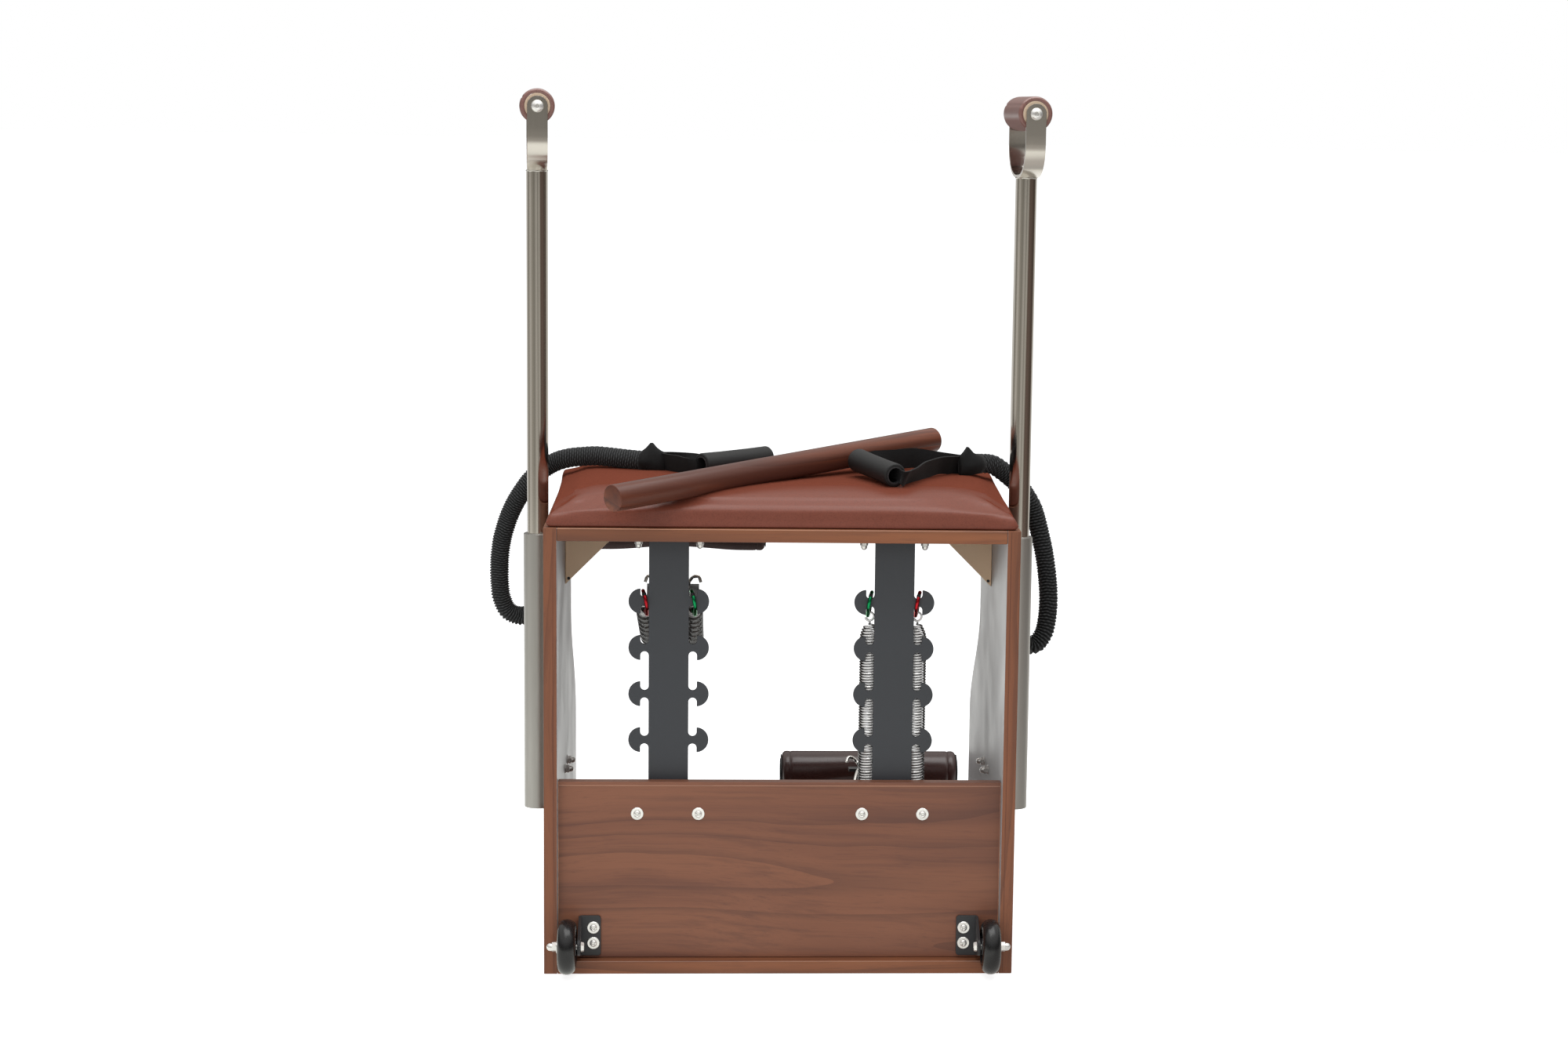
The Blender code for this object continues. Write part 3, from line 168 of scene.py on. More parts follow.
def upward(tree):
    """The Z part of the surface's own direction."""
    normal = add(tree, "ShaderNodeTexCoord").outputs["Normal"]
    return add(tree, "ShaderNodeSeparateXYZ", {0: normal}).outputs[2]


def ramp(tree, value, low, high, out_low=0.0, out_high=1.0):
    """How far a value is from low to high: a share, or a place between two other values."""
    return made(tree, "MapRange", {"Value": value, "From Min": low, "From Max": high,
                                   "To Min": out_low, "To Max": out_high})


def blended(tree, share, tone, other):
    node = add(tree, "ShaderNodeMix", data_type="RGBA")
    for index, value in ((0, share), (6, tone), (7, other)):
        if isinstance(value, bpy.types.NodeSocket):
            tree.links.new(value, node.inputs[index])
        else:
            node.inputs[index].default_value = (*value, 1.0)
    return node.outputs[2]


def tinted(tree, tone, other, mask, low, high, most=1.0):
    """A tone with up to that share of another colour, as the mask goes from low to high."""
    return blended(tree, ramp(tree, mask, low, high, 0.0, most), tone, other)


def noise_node(tree, vector, scale, detail=4.0, roughness=0.5):
    return made(tree, "TexNoise", {"Vector": vector, "Scale": scale, "Detail": detail,
                                   "Roughness": roughness})


def stretched(tree, vector, scale, turn=(0, 0, 0)):
    return made(tree, "Mapping", {"Vector": vector, "Scale": scale, "Rotation": turn})


def use(tree, group, inputs):
    return add(tree, "ShaderNodeGroup", inputs, node_tree=EFFECTS[group]).outputs


# Camera, floor and light
def build_camera():
    """The photograph's view: a long lens behind the chair, a little above and to its left."""
    yaw, pitch, roll = 0.06186, 0.15448, 0.01612
    forward = Vector((sin(yaw) * cos(pitch), cos(yaw) * cos(pitch), -sin(pitch)))
    level = Vector((cos(yaw), -sin(yaw), 0))
    above = level.cross(forward)
    right = cos(roll) * level + sin(roll) * above
    up = -sin(roll) * level + cos(roll) * above
    camera = bpy.data.objects.new("photo_camera", bpy.data.cameras.new("photo_camera"))
    turn = Matrix((right, up, -forward)).transposed().to_4x4()
    camera.matrix_world = at(-0.0886, REAR_Y - 4.0, 1.1648) @ turn
    camera.data.sensor_width, camera.data.lens = 36, 69.218
    camera.data.shift_x, camera.data.shift_y = -0.0747, 0.0395
    bpy.context.scene.collection.objects.link(camera)
    bpy.context.scene.camera = camera


def build_stage():
    """A floor that is white in the picture and keeps the chair's shadow."""
    bpy.ops.mesh.primitive_plane_add(size=240, location=(0, 0, -0.0005))
    ground = bpy.context.active_object
    ground.name = "studio_floor"
    mat = bpy.data.materials.new("studio_floor")
    mat.use_nodes = True
    tree = mat.node_tree
    tree.nodes.clear()
    path = add(tree, "ShaderNodeLightPath").outputs
    seen = greater(tree, path["Is Camera Ray"], path["Is Transmission Ray"])
    glow = made(tree, "Emission", {"Strength": times(tree, seen, 0.72)})
    paint = made(tree, "BsdfDiffuse", {"Color": (0.78, 0.78, 0.78, 1)})
    both = made(tree, "AddShader", {0: glow, 1: paint})
    mixed = made(tree, "MixShader", {0: path["Is Glossy Ray"], 1: both, 2: floor_in_metal(tree)})
    add(tree, "ShaderNodeOutputMaterial", {"Surface": mixed})
    ground.data.materials.append(mat)


def room_around(tree, place):
    """The room that metal mirrors: a colour for each compass direction, with fine streaks of light."""
    x, y, z = add(tree, "ShaderNodeSeparateXYZ", {0: place}).outputs
    around = math_node(tree, "ARCTAN2", x, times(tree, y, -1.0))
    room = add(tree, "ShaderNodeValToRGB", {0: ramp(tree, around, -pi, pi)})
    bright, pale, mid, soft = (0.8, 0.79, 0.77), (0.6, 0.575, 0.53), (0.41, 0.385, 0.34), (0.31, 0.295, 0.26)
    brown, dark = (0.17, 0.125, 0.105), (0.105, 0.078, 0.064)
    stops = [(-2.6, bright), (-2.15, bright), (-1.98, soft), (-1.72, soft), (-1.5, pale), (-1.15, pale),
             (-1.0, mid), (-0.5, soft), (-0.1, pale), (0.16, soft), (0.36, pale), (0.54, mid), (0.66, brown),
             (1.1, brown), (1.5, dark), (1.86, dark), (2.06, pale), (2.6, bright)]
    while len(room.color_ramp.elements) < len(stops):
        room.color_ramp.elements.new(0.5)
    for element, (angle, colour) in zip(room.color_ramp.elements, stops):
        element.position, element.color = 0.5 + angle / (2 * pi), (*colour, 1)
    spread = made(tree, "CombineXYZ", {0: times(tree, around, 9.0)})
    streaks = ramp(tree, noise_node(tree, spread, 1.0, 3.0, 0.6), 0.35, 0.65, 0.84, 1.16)
    return room.outputs[0], streaks, around, z


def floor_in_metal(tree):
    """The same room laid out on the floor, brighter near the chair."""
    place = add(tree, "ShaderNodeTexCoord").outputs["Object"]
    colour, streaks, around, _ = room_around(tree, place)
    distance = add(tree, "ShaderNodeVectorMath", {0: place}, operation="LENGTH").outputs["Value"]
    left = times(tree, ramp(tree, distance, 5.4, 3.7, 0.0, 0.26), ramp(tree, around, 0.8, 0.3))
    near = plus(tree, left, ramp(tree, distance, 3.45, 3.2, 0.0, 0.5))
    far_part = made(tree, "Emission", {"Color": colour, "Strength": streaks})
    near_part = made(tree, "Emission", {"Color": (0.97, 1.0, 0.96, 1), "Strength": near})
    return made(tree, "AddShader", {0: far_part, 1: near_part})


def softbox(name, location, size, power, glossy=True):
    lamp = bpy.data.lights.new(name, "AREA")
    lamp.shape = "RECTANGLE"
    lamp.size, lamp.size_y = size
    lamp.energy = power
    obj = bpy.data.objects.new(name, lamp)
    obj.location = location
    obj.rotation_euler = (Vector((0, 0, 0.5)) - Vector(location)).to_track_quat("-Z", "Y").to_euler()
    obj.visible_glossy = glossy
    bpy.context.scene.collection.objects.link(obj)


def build_light():
    """Even light; in reflections the room has dim walls under a bright ceiling."""
    world = bpy.context.scene.world or bpy.data.worlds.new("studio")
    bpy.context.scene.world = world
    world.use_nodes = True
    tree = world.node_tree
    tree.nodes.clear()
    path = add(tree, "ShaderNodeLightPath").outputs
    way = add(tree, "ShaderNodeTexCoord").outputs["Generated"]
    colour, streaks, _, up = room_around(tree, way)
    fill, white, walls, ceiling = (made(tree, "Background", {"Color": tone, "Strength": strength})
                                   for tone, strength in (((0.97, 0.985, 1.0, 1), 0.62), ((1, 1, 1, 1), 1.0),
                                                          (colour, times(tree, streaks, 0.36)),
                                                          ((1, 0.98, 0.95, 1), 0.95)))
    room = made(tree, "MixShader", {0: ramp(tree, up, 0.2, 0.62), 1: walls, 2: ceiling})
    metal = made(tree, "MixShader", {0: path["Is Glossy Ray"], 1: fill, 2: room})
    seen = greater(tree, path["Is Camera Ray"], path["Is Transmission Ray"])
    mixed = made(tree, "MixShader", {0: seen, 1: metal, 2: white})
    add(tree, "ShaderNodeOutputWorld", {"Surface": mixed})
    softbox("overhead_softbox", (0.2, -0.5, 3.2), (3.0, 2.4), 62)
    softbox("rear_fill", (-1.2, -3.6, 1.7), (2.6, 2.0), 34, False)
    bpy.context.scene.view_settings.view_transform = "Standard"


# Shared surface effects
def leather_grain(tree, vector, pebble):
    """Pebbled hide: small rounded cells, broken up by soft wrinkles."""
    shifted = vector_sum(tree, vector, noise_node(tree, vector, 90.0, 2.0))
    cells = add(tree, "ShaderNodeTexVoronoi", {"Vector": vector, "Scale": pebble, "Randomness": 0.9},
                feature="SMOOTH_F1").outputs["Distance"]
    wrinkle = noise_node(tree, shifted, 26.0, 5.0, 0.6)
    return {"Height": math_node(tree, "MULTIPLY_ADD", cells, -0.7, times(tree, wrinkle, 0.5)),
            "Wrinkle": wrinkle}


def wood_figure(tree, vector, seed):
    """Walnut along the vector's X: flowing bands, growth lines, fine streaks and pores."""
    vector = vector_sum(tree, vector, made(tree, "CombineXYZ", {0: seed, 1: seed}))
    sway = noise_node(tree, stretched(tree, vector, (1.3, 1.6, 1.6)), 1.0, 1.0)
    ripple = noise_node(tree, stretched(tree, vector, (6.0, 12.0, 12.0)), 1.0, 2.0)
    lift = math_node(tree, "MULTIPLY_ADD", sway, 0.11, times(tree, ripple, 0.01))
    bent = vector_sum(tree, vector, made(tree, "CombineXYZ", {1: lift, 2: lift}))
    rings = noise_node(tree, stretched(tree, bent, (0.32, 6.5, 6.5)), 1.0, 0.5)
    return {"Bands": noise_node(tree, stretched(tree, bent, (0.45, 13.0, 13.0)), 1.0, 3.0, 0.55),
            "Growth": ramp(tree, math_node(tree, "FRACT", times(tree, rings, 11.0)), 0.0, 0.3, 1.0, 0.0),
            "Streaks": noise_node(tree, stretched(tree, bent, (2.4, 130.0, 130.0)), 1.0, 5.0, 0.6),
            "Pores": noise_node(tree, stretched(tree, bent, (16.0, 800.0, 800.0)), 1.0, 2.0)}


def handling_marks(tree, vector, scale):
    """Where hands and cloths have touched: soft patches with finer scuffs in them."""
    patches = ramp(tree, noise_node(tree, vector, scale, 3.0), 0.35, 0.7)
    scuffs = noise_node(tree, stretched(tree, vector, (1, 1, 4)), times(tree, scale, 22.0), 4.0, 0.7)
    return {"Marks": times(tree, patches, scuffs)}


def drawn_metal(tree, vector, lines):
    """Fine lines drawn along the vector's Z, with slow changes of tone."""
    return {"Lines": noise_node(tree, stretched(tree, vector, (1, 1, 0.012)), lines, 2.0),
            "Tone": noise_node(tree, stretched(tree, vector, (1, 1, 0.2)), 14.0, 3.0)}


def weave(tree, vector, threads):
    """Plain weave on a UV map in metres: the height of the threads, and where they stand highest."""
    split = add(tree, "ShaderNodeSeparateXYZ", {0: vector}).outputs
    along, across = (times(tree, way, threads) for way in (split[0], split[1]))
    warp, weft = (math_node(tree, "ABSOLUTE", math_node(tree, "SINE", way)) for way in (along, across))
    over = math_node(tree, "SINE", times(tree, plus(tree, along, across), 0.5))
    return {"Height": math_node(tree, "MULTIPLY_ADD", warp, math_node(tree, "ABSOLUTE", over), weft),
            "Gap": times(tree, warp, weft)}


EFFECTS = {}
LOOK = {}
TREES = {}


def build_effects():
    """One shader group for each effect, with a vector and one number going in."""
    for effect, label, value in ((leather_grain, "Pebble", 700.0), (wood_figure, "Seed", 0.0),
                                 (handling_marks, "Scale", 6.0), (drawn_metal, "Lines", 1500.0),
                                 (weave, "Threads", 900.0)):
        tree = bpy.data.node_groups.new(effect.__name__, "ShaderNodeTree")
        tree.interface.new_socket("Vector", in_out="INPUT", socket_type="NodeSocketVector")
        tree.interface.new_socket(label, in_out="INPUT", socket_type="NodeSocketFloat").default_value = value
        given = tree.nodes.new("NodeGroupInput").outputs
        results = effect(tree, given["Vector"], given[label])
        for name in results:
            tree.interface.new_socket(name, in_out="OUTPUT", socket_type="NodeSocketFloat")
        out = tree.nodes.new("NodeGroupOutput").inputs
        for name, result in results.items():
            tree.links.new(result, out[name])
        EFFECTS[effect.__name__] = tree


# Materials
def new_material(name, colour, roughness, metallic=0.0):
    mat = bpy.data.materials.new(name)
    mat.use_nodes = True
    tree = mat.node_tree
    shader = tree.nodes["Principled BSDF"]
    shader.inputs["Base Color"].default_value = (*colour, 1)
    shader.inputs["Roughness"].default_value = roughness
    shader.inputs["Metallic"].default_value = metallic
    place = add(tree, "ShaderNodeTexCoord").outputs
    return mat, tree, shader, place["Object"], place["UV"]


def finish(tree, shader, colour, roughness, height, distance, strength=0.6):
    """Links a material's varying colour, roughness and relief to its shader."""
    tree.links.new(colour, shader.inputs["Base Color"])
    tree.links.new(roughness, shader.inputs["Roughness"])
    relief = add(tree, "ShaderNodeBump", {"Height": height, "Strength": strength, "Distance": distance})
    tree.links.new(relief.outputs[0], shader.inputs["Normal"])


def scaled(colour, factor):
    return tuple(min(1.0, c * factor) for c in colour)


def marked(tree, place, scale, amount, value, low, high):
    """Roughness that goes from low to high with a value, and is raised by handling marks."""
    marks = use(tree, "handling_marks", {"Vector": place, "Scale": scale})["Marks"]
    return math_node(tree, "MULTIPLY_ADD", marks, amount, ramp(tree, value, 0.3, 0.7, low, high))


def walnut(name, turn=(0, 0, 0), seed=0.0, tint=(1, 1, 1), roughness=0.34, contrast=1.0):
    """Foil-faced walnut whose grain runs along X until it is turned."""
    base, dark, light = (tuple(c * t for c, t in zip(tone, tint))
                         for tone in (WALNUT, WALNUT_DARK, WALNUT_LIGHT))
    mat, tree, shader, place, _ = new_material(name, base, roughness)
    shader.inputs["Specular IOR Level"].default_value = 0.32
    figure = use(tree, "wood_figure", {"Vector": stretched(tree, place, (1, 1, 1), turn), "Seed": seed})
    tone = base
    for other, mask, low, high, most in ((light, "Bands", 0.42, 0.62, 0.8 * contrast),
                                         (dark, "Bands", 0.48, 0.34, 0.6 * contrast),
                                         (scaled(dark, 0.8), "Growth", 0.0, 1.0, 0.42 * contrast),
                                         (dark, "Streaks", 0.52, 0.32, 0.42 * contrast),
                                         (dark, "Pores", 0.42, 0.26, 0.35)):
        tone = tinted(tree, tone, other, figure[mask], low, high, most)
    rough = marked(tree, place, 5.0, 0.14, figure["Streaks"], roughness + 0.04, roughness - 0.04)
    relief = math_node(tree, "MULTIPLY_ADD", figure["Streaks"], 0.5, figure["Pores"])
    finish(tree, shader, tone, rough, relief, 0.0001)
    return mat


def leather(name, colour, pebble, roughness, depth, shine, rim=0.0):
    """Pebbled leather with one shine facing the eye and another at the rim, and a rough underside."""
    mat, tree, shader, place, _ = new_material(name, colour, roughness)
    turned = add(tree, "ShaderNodeLayerWeight", {"Blend": 0.5}).outputs["Facing"]
    tree.links.new(ramp(tree, turned, 0.45, 0.85, shine, rim), shader.inputs["Specular IOR Level"])
    grain = use(tree, "leather_grain", {"Vector": place, "Pebble": pebble})
    tone = tinted(tree, colour, scaled(colour, 1.2), grain["Wrinkle"], 0.35, 0.65, 0.4)
    tone = tinted(tree, tone, scaled(colour, 0.72), grain["Height"], -0.02, -0.22, 0.5)
    rough = marked(tree, place, 7.0, 0.14, grain["Wrinkle"], roughness - 0.04, roughness + 0.05)
    rough = greater(tree, rough, ramp(tree, upward(tree), -0.05, -0.4, 0.0, 0.85))
    finish(tree, shader, tone, rough, grain["Height"], depth, 0.5)
    return mat


def painted(name, colour, roughness, peel=900.0, depth=0.00005):
    """Powder coat or moulded plastic: even colour, orange-peel skin and a few handling marks."""
    mat, tree, shader, place, _ = new_material(name, colour, roughness)
    skin = noise_node(tree, place, peel, 3.0, 0.6)
    marks = use(tree, "handling_marks", {"Vector": place, "Scale": 9.0})["Marks"]
    tone = tinted(tree, colour, scaled(colour, 1.3), marks, 0.05, 0.6, 0.4)
    rough = ramp(tree, plus(tree, skin, marks), 0.3, 1.2, roughness - 0.05, roughness + 0.15)
    finish(tree, shader, tone, rough, skin, depth, 0.5)
    return mat


def metal(name, colour, roughness, lines=1500.0, depth=0.00002, tone_change=0.4, metallic=1.0):
    """Drawn, polished or anodised metal with lines along Z and a slow change of tone."""
    mat, tree, shader, place, _ = new_material(name, colour, roughness, metallic)
    drawn = use(tree, "drawn_metal", {"Vector": place, "Lines": lines})
    tone = tinted(tree, colour, scaled(colour, 0.72), drawn["Tone"], 0.35, 0.7, tone_change)
    rough = marked(tree, place, 11.0, 0.08, drawn["Lines"], roughness * 0.85, roughness * 1.2)
    finish(tree, shader, tone, rough, drawn["Lines"], depth, 0.3)
    return mat


def coil_steel_painted_shade(name, colour, rim):
    """Bright wire with painted shade: dark at its sides where it turns away from the view, between coils, and
    down the coils that its attribute reach marks.
    """
    mat = metal(name, colour, 0.12, 900.0, 0.000002, 0.2, 0.2)
    tree = mat.node_tree
    facing = add(tree, "ShaderNodeLayerWeight", {"Blend": 0.5}).outputs["Facing"]
    steep = math_node(tree, "ABSOLUTE", upward(tree))
    level = math_node(tree, "SQRT", math_node(tree, "SUBTRACT", 1.0, times(tree, steep, steep)))
    towards = math_node(tree, "DIVIDE", math_node(tree, "SUBTRACT", 1.0, facing), greater(tree, level, 0.2))
    # Painted shade at the wire's sides, by facing, and between coils, by steep normals
    sides = greater(tree, ramp(tree, towards, 0.86, 0.62), ramp(tree, steep, 0.74, 0.95))
    reach = add(tree, "ShaderNodeAttribute", attribute_name="reach").outputs["Fac"]
    # Painted shade down the coils that the attribute reach marks, the left springs' lower coils
    shade = greater(tree, sides, ramp(tree, reach, 0.019, 0.024, 0.0, 0.93))
    # rim is the tone of the painted shade
    tree.links.new(blended(tree, shade, colour, rim), tree.nodes["Principled BSDF"].inputs["Base Color"])
    return mat


def laminate(name, colour, roughness=0.42):
    """Melamine board face with a faint pearl grain."""
    mat, tree, shader, place, _ = new_material(name, colour, roughness)
    pearl = noise_node(tree, stretched(tree, place, (1, 1, 0.15)), 260.0, 3.0, 0.6)
    cloud = noise_node(tree, place, 9.0, 3.0)
    tone = tinted(tree, colour, scaled(colour, 0.82), pearl, 0.35, 0.65, 0.08)
    tone = tinted(tree, tone, scaled(colour, 0.82), cloud, 0.4, 0.7, 0.12)
    rough = ramp(tree, cloud, 0.3, 0.7, roughness - 0.06, roughness + 0.1)
    finish(tree, shader, tone, rough, pearl, 0.00004, 0.5)
    return mat


def woven(name, colour, threads, depth, painted_highlight, gathered=False):
    """Webbing or sleeve cloth on the piece's own UV map, with a painted highlight where its threads stand
    highest; gathered cloth has painted shade between its frills.
    """
    mat, tree, shader, place, flow = new_material(name, colour, 0.8)
    cloth = use(tree, "weave", {"Vector": flow, "Threads": threads})
    fuzz = noise_node(tree, place, 1800.0, 3.0)
    # Painted highlight: the threads are lightened where they stand highest
    tone = tinted(tree, colour, scaled(colour, painted_highlight), cloth["Gap"], 0.2, 0.9, 0.5)
    if gathered:
        # Painted shade: gathered cloth goes dark where the attribute rise is low, between its frills
        rise = add(tree, "ShaderNodeAttribute", attribute_name="rise").outputs["Fac"]
        tone = tinted(tree, scaled(colour, 0.22), tone, rise, -0.0014, 0.0)
    for socket, value in (("Sheen Weight", 0.05), ("Specular IOR Level", 0.3), ("Sheen Roughness", 0.4)):
        shader.inputs[socket].default_value = value
    finish(tree, shader, tone, ramp(tree, fuzz, 0.3, 0.7, 0.7, 0.88),
           math_node(tree, "MULTIPLY_ADD", fuzz, 0.4, cloth["Height"]), depth)
    return mat


def foam(name, colour):
    mat, tree, shader, place, _ = new_material(name, colour, 0.7)
    cells = noise_node(tree, place, 2600.0, 3.0, 0.65)
    marks = use(tree, "handling_marks", {"Vector": place, "Scale": 12.0})["Marks"]
    tone = tinted(tree, colour, scaled(colour, 1.7), marks, 0.1, 0.5, 0.4)
    finish(tree, shader, tone, ramp(tree, cells, 0.3, 0.7, 0.55, 0.75), cells, 0.00012)
    return mat


def build_materials():
    upright = (0, radians(90), 0)
    LOOK.update(
        walnut_boards=walnut("walnut_boards", (0, 0, 0), 3.1, (1.12, 1.02, 0.82), 0.34, 1.35),
        walnut_back=walnut("walnut_back", (0, 0, 0), 8.35),
        walnut_upright=walnut("walnut_upright", upright, 1.7, (0.95, 0.86, 0.74)),
        walnut_outer=walnut("walnut_outer", upright, 6.4),
        band_edge=walnut("band_edge", (0, 0, 0), 2.2, (2.2, 2.8, 3.0), 0.5),
        band_joint=walnut("band_joint", upright, 5.2, (0.78, 0.7, 0.66), 0.5),
        rod_walnut=walnut("rod_walnut", (0, 0, radians(-43)), 4.2, (0.8, 0.56, 0.46), 0.3, 1.9),
        laminate=laminate("panel_laminate", (0.425, 0.417, 0.416)),
        taupe=laminate("gusset_board", (0.9, 0.65, 0.43), 0.5),
        seat=leather("seat_leather", (0.172, 0.048, 0.029), 620.0, 0.34, 0.00018, 0.33),
        pedal=leather("pedal_leather", (0.04, 0.015, 0.013), 640.0, 0.28, 0.00012, 0.62),
        roller=leather("roller_leather", (0.185, 0.082, 0.067), 700.0, 0.3, 0.0001, 1.0, 1.0),
        post=painted("post_paint", (0.0382, 0.041, 0.0464), 0.5),
        black=painted("black_paint", (0.026, 0.027, 0.029), 0.42),
        arm=painted("arm_paint", (0.018, 0.018, 0.019), 0.42),
        polished=metal("polished_steel", (0.58, 0.55, 0.505), 0.1, 900.0, 0.000004, 0.0),
        fork=metal("fork_steel", (0.62, 0.585, 0.54), 0.16, 700.0, 0.00001, 0.15),
        bright=metal("bright_steel", (0.62, 0.6, 0.57), 0.17, 900.0),
        # The spring's second colour is the tone of its painted shade
        spring=coil_steel_painted_shade("spring_steel_painted_shade", (0.95, 0.94, 0.92), (0.01, 0.008, 0.007)),
        sleeve=metal("sleeve_aluminium", (0.445, 0.432, 0.412), 0.4, 1800.0, 0.00002, 0.2),
        red=metal("red_aluminium", (0.52, 0.02, 0.03), 0.24, 1200.0),
        green=metal("green_aluminium", (0.012, 0.3, 0.1), 0.24, 1200.0),
        zinc=metal("zinc_fastener", (0.86, 0.85, 0.82), 0.22, 1200.0, 0.00001, 0.2, 0.65),
        core=painted("beige_core", (0.5, 0.38, 0.27), 0.5),
        tyre=painted("wheel_rubber", (0.0065, 0.0065, 0.0072), 0.2, 500.0, 0.00002),
        hub=painted("wheel_hub", (0.024, 0.024, 0.026), 0.35),
        # cord_fabric and strap_webbing carry a painted highlight on their threads, and cord_fabric painted
        # shade between frills
        cord=woven("cord_fabric", (0.044, 0.0455, 0.0465), 2600.0, 0.00015, 2.2, True),
        webbing=woven("strap_webbing", (0.0052, 0.0053, 0.0056), 2400.0, 0.00012, 1.7),
        foam=foam("grip_foam", (0.0056, 0.0058, 0.0061)),
        liner=painted("black_liner", (0.009, 0.009, 0.009), 0.5),
    )


# Mesh helpers
def mesh_from(name, verts, faces, uvs=None):
    mesh = bpy.data.meshes.new(name)
    mesh.from_pydata([tuple(v) for v in verts], [], faces)
    if uvs is not None:
        layer = mesh.uv_layers.new(name="flow")
        for loop, uv in zip(layer.data, uvs):
            loop.uv = uv
    return mesh


def written(bm, mesh):
    """The mesh with the bmesh's form; the bmesh is freed."""
    bm.to_mesh(mesh)
    bm.free()
    return mesh


def tidy(mesh, weld=0.000005, place=None):
    """Puts a mesh in its place, welds doubles and turns all faces outwards."""
    if place is not None:
        mesh.transform(place)
    bm = bmesh.new()
    bm.from_mesh(mesh)
    bmesh.ops.remove_doubles(bm, verts=bm.verts, dist=weld)
    bmesh.ops.recalc_face_normals(bm, faces=bm.faces)
    return written(bm, mesh)


def helper_object(name, mesh):
    obj = bpy.data.objects.new(name, mesh)
    bpy.context.scene.collection.objects.link(obj)
    return obj


def piece(name, mesh, look, body, nodes=(), bevel=0.0, segments=2, subdivide=0, angle=40.0):
    """Puts a finished mesh in the scene, riding on its body and standing for its nodes."""
    obj = helper_object(name, mesh)
    if look:
        mesh.materials.clear()
        mesh.materials.append(LOOK[look])
    mesh.shade_smooth()
    mesh.set_sharp_from_angle(angle=radians(angle))
    if bevel > 0:
        mod = obj.modifiers.new("edge_round", "BEVEL")
        mod.width, mod.segments, mod.harden_normals = bevel, segments, True
        mod.limit_method, mod.angle_limit = "ANGLE", radians(30)
    if subdivide:
        mod = obj.modifiers.new("smooth_form", "SUBSURF")
        mod.levels = mod.render_levels = subdivide
    if body:
        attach(obj, body)
    if nodes:
        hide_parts(*([nodes] if isinstance(nodes, str) else nodes))
    return obj


def rows_closed(count, rows, wrap):
    """Quads between rows of points; wrap joins the last row to the first."""
    faces = []
    for i in range(rows if wrap else rows - 1):
        j = (i + 1) % rows
        for k in range(count):
            n = (k + 1) % count
            faces.append((i * count + k, i * count + n, j * count + n, j * count + k))
    return faces


def frames_along(points, closed=False):
    """A direction and a steady pair of side vectors at each point of a path."""
    count = len(points)
    tangents = []
    for i in range(count):
        a = points[(i - 1) % count] if closed or i > 0 else points[i]
        b = points[(i + 1) % count] if closed or i < count - 1 else points[i]
        tangents.append((b - a).normalized())
    side = tangents[0].orthogonal().normalized()
    frames = []
    for t in tangents:
        side = (side - t * side.dot(t)).normalized()
        frames.append((t, side, t.cross(side)))
    return frames


def circle(count):
    """Angles that go once round in equal steps."""
    return [2 * pi * k / count for k in range(count)]


def walked(points):
    """How far along its path each point lies."""
    run = [0.0]
    for p, q in zip(points, points[1:]):
        run.append(run[-1] + (q - p).length)
    return run


def tube(name, points, radius, sides=16, closed=False, swell=None):
    """A round tube along points; swell(distance, angle) can add to its radius."""
    points = [Vector(p) for p in points]
    run = walked(points)
    verts, uvs, rises = [], [], []
    for distance, p, (_, a, b) in zip(run, points, frames_along(points, closed)):
        for angle in circle(sides):
            rises.append(swell(distance, angle) if swell else 0.0)
            verts.append(p + (radius + rises[-1]) * (cos(angle) * a + sin(angle) * b))
    faces = rows_closed(sides, len(points), closed)
    around = 2 * pi * radius / sides
    run.append(run[-1] + (points[0] - points[-1]).length)
    for near, far in list(zip(run, run[1:]))[:len(faces) // sides]:
        for k in range(sides):
            uvs += [(near, k * around), (near, (k + 1) * around), (far, (k + 1) * around), (far, k * around)]
    if not closed:
        last = (len(points) - 1) * sides
        faces += [tuple(reversed(range(sides))), tuple(range(last, last + sides))]
        uvs += [(0, k * around) for k in range(sides)] * 2
    mesh = mesh_from(name, verts, faces, uvs)
    if swell:
        # The attribute rise lets the cord's material paint shade between the frills
        mesh.attributes.new("rise", "FLOAT", "POINT").data.foreach_set("value", rises)
    return tidy(mesh, 0.0000005)


def lathe(profile, steps=64, closed=False, place=None):
    """Turns (radius, height) points about Z and puts the result in its place."""
    verts, rows = [], []
    for r, z in profile:
        count = 1 if r < 1e-7 else steps
        rows.append([len(verts) + k % count for k in range(steps)])
        verts += [Vector((r * cos(angle), r * sin(angle), z)) for angle in circle(steps)[:count]]
    faces = []
    for low, high in list(zip(rows, rows[1:])) + ([(rows[-1], rows[0])] if closed else []):
        for k in range(steps):
            n = (k + 1) % steps
            corners = list(dict.fromkeys((low[k], low[n], high[n], high[k])))
            if len(corners) > 2:
                faces.append(corners)
    return tidy(mesh_from("turned", verts, faces), place=place)


def mirrored(profile):
    """A turned profile and its reflection, for a piece that is the same at both ends."""
    return profile + [(r, -z) for r, z in reversed(profile)]


def extruded(outline, low, high, place):
    """A closed flat outline given thickness from low to high, then put in its place."""
    count = len(outline)
    verts = [Vector((a, b, low)) for a, b in outline] + [Vector((a, b, high)) for a, b in outline]
    faces = [tuple(reversed(range(count))), tuple(range(count, 2 * count))] + rows_closed(count, 2, False)
    return tidy(mesh_from("extruded", verts, faces), place=place)


def box_mesh(low, high):
    bm = bmesh.new()
    bmesh.ops.create_cube(bm, size=1.0)
    mesh = written(bm, bpy.data.meshes.new("box"))
    low, high = Vector(low), Vector(high)
    mesh.transform(at(*(low + high) / 2) @ Matrix.Diagonal((*(high - low), 1)))
    return mesh


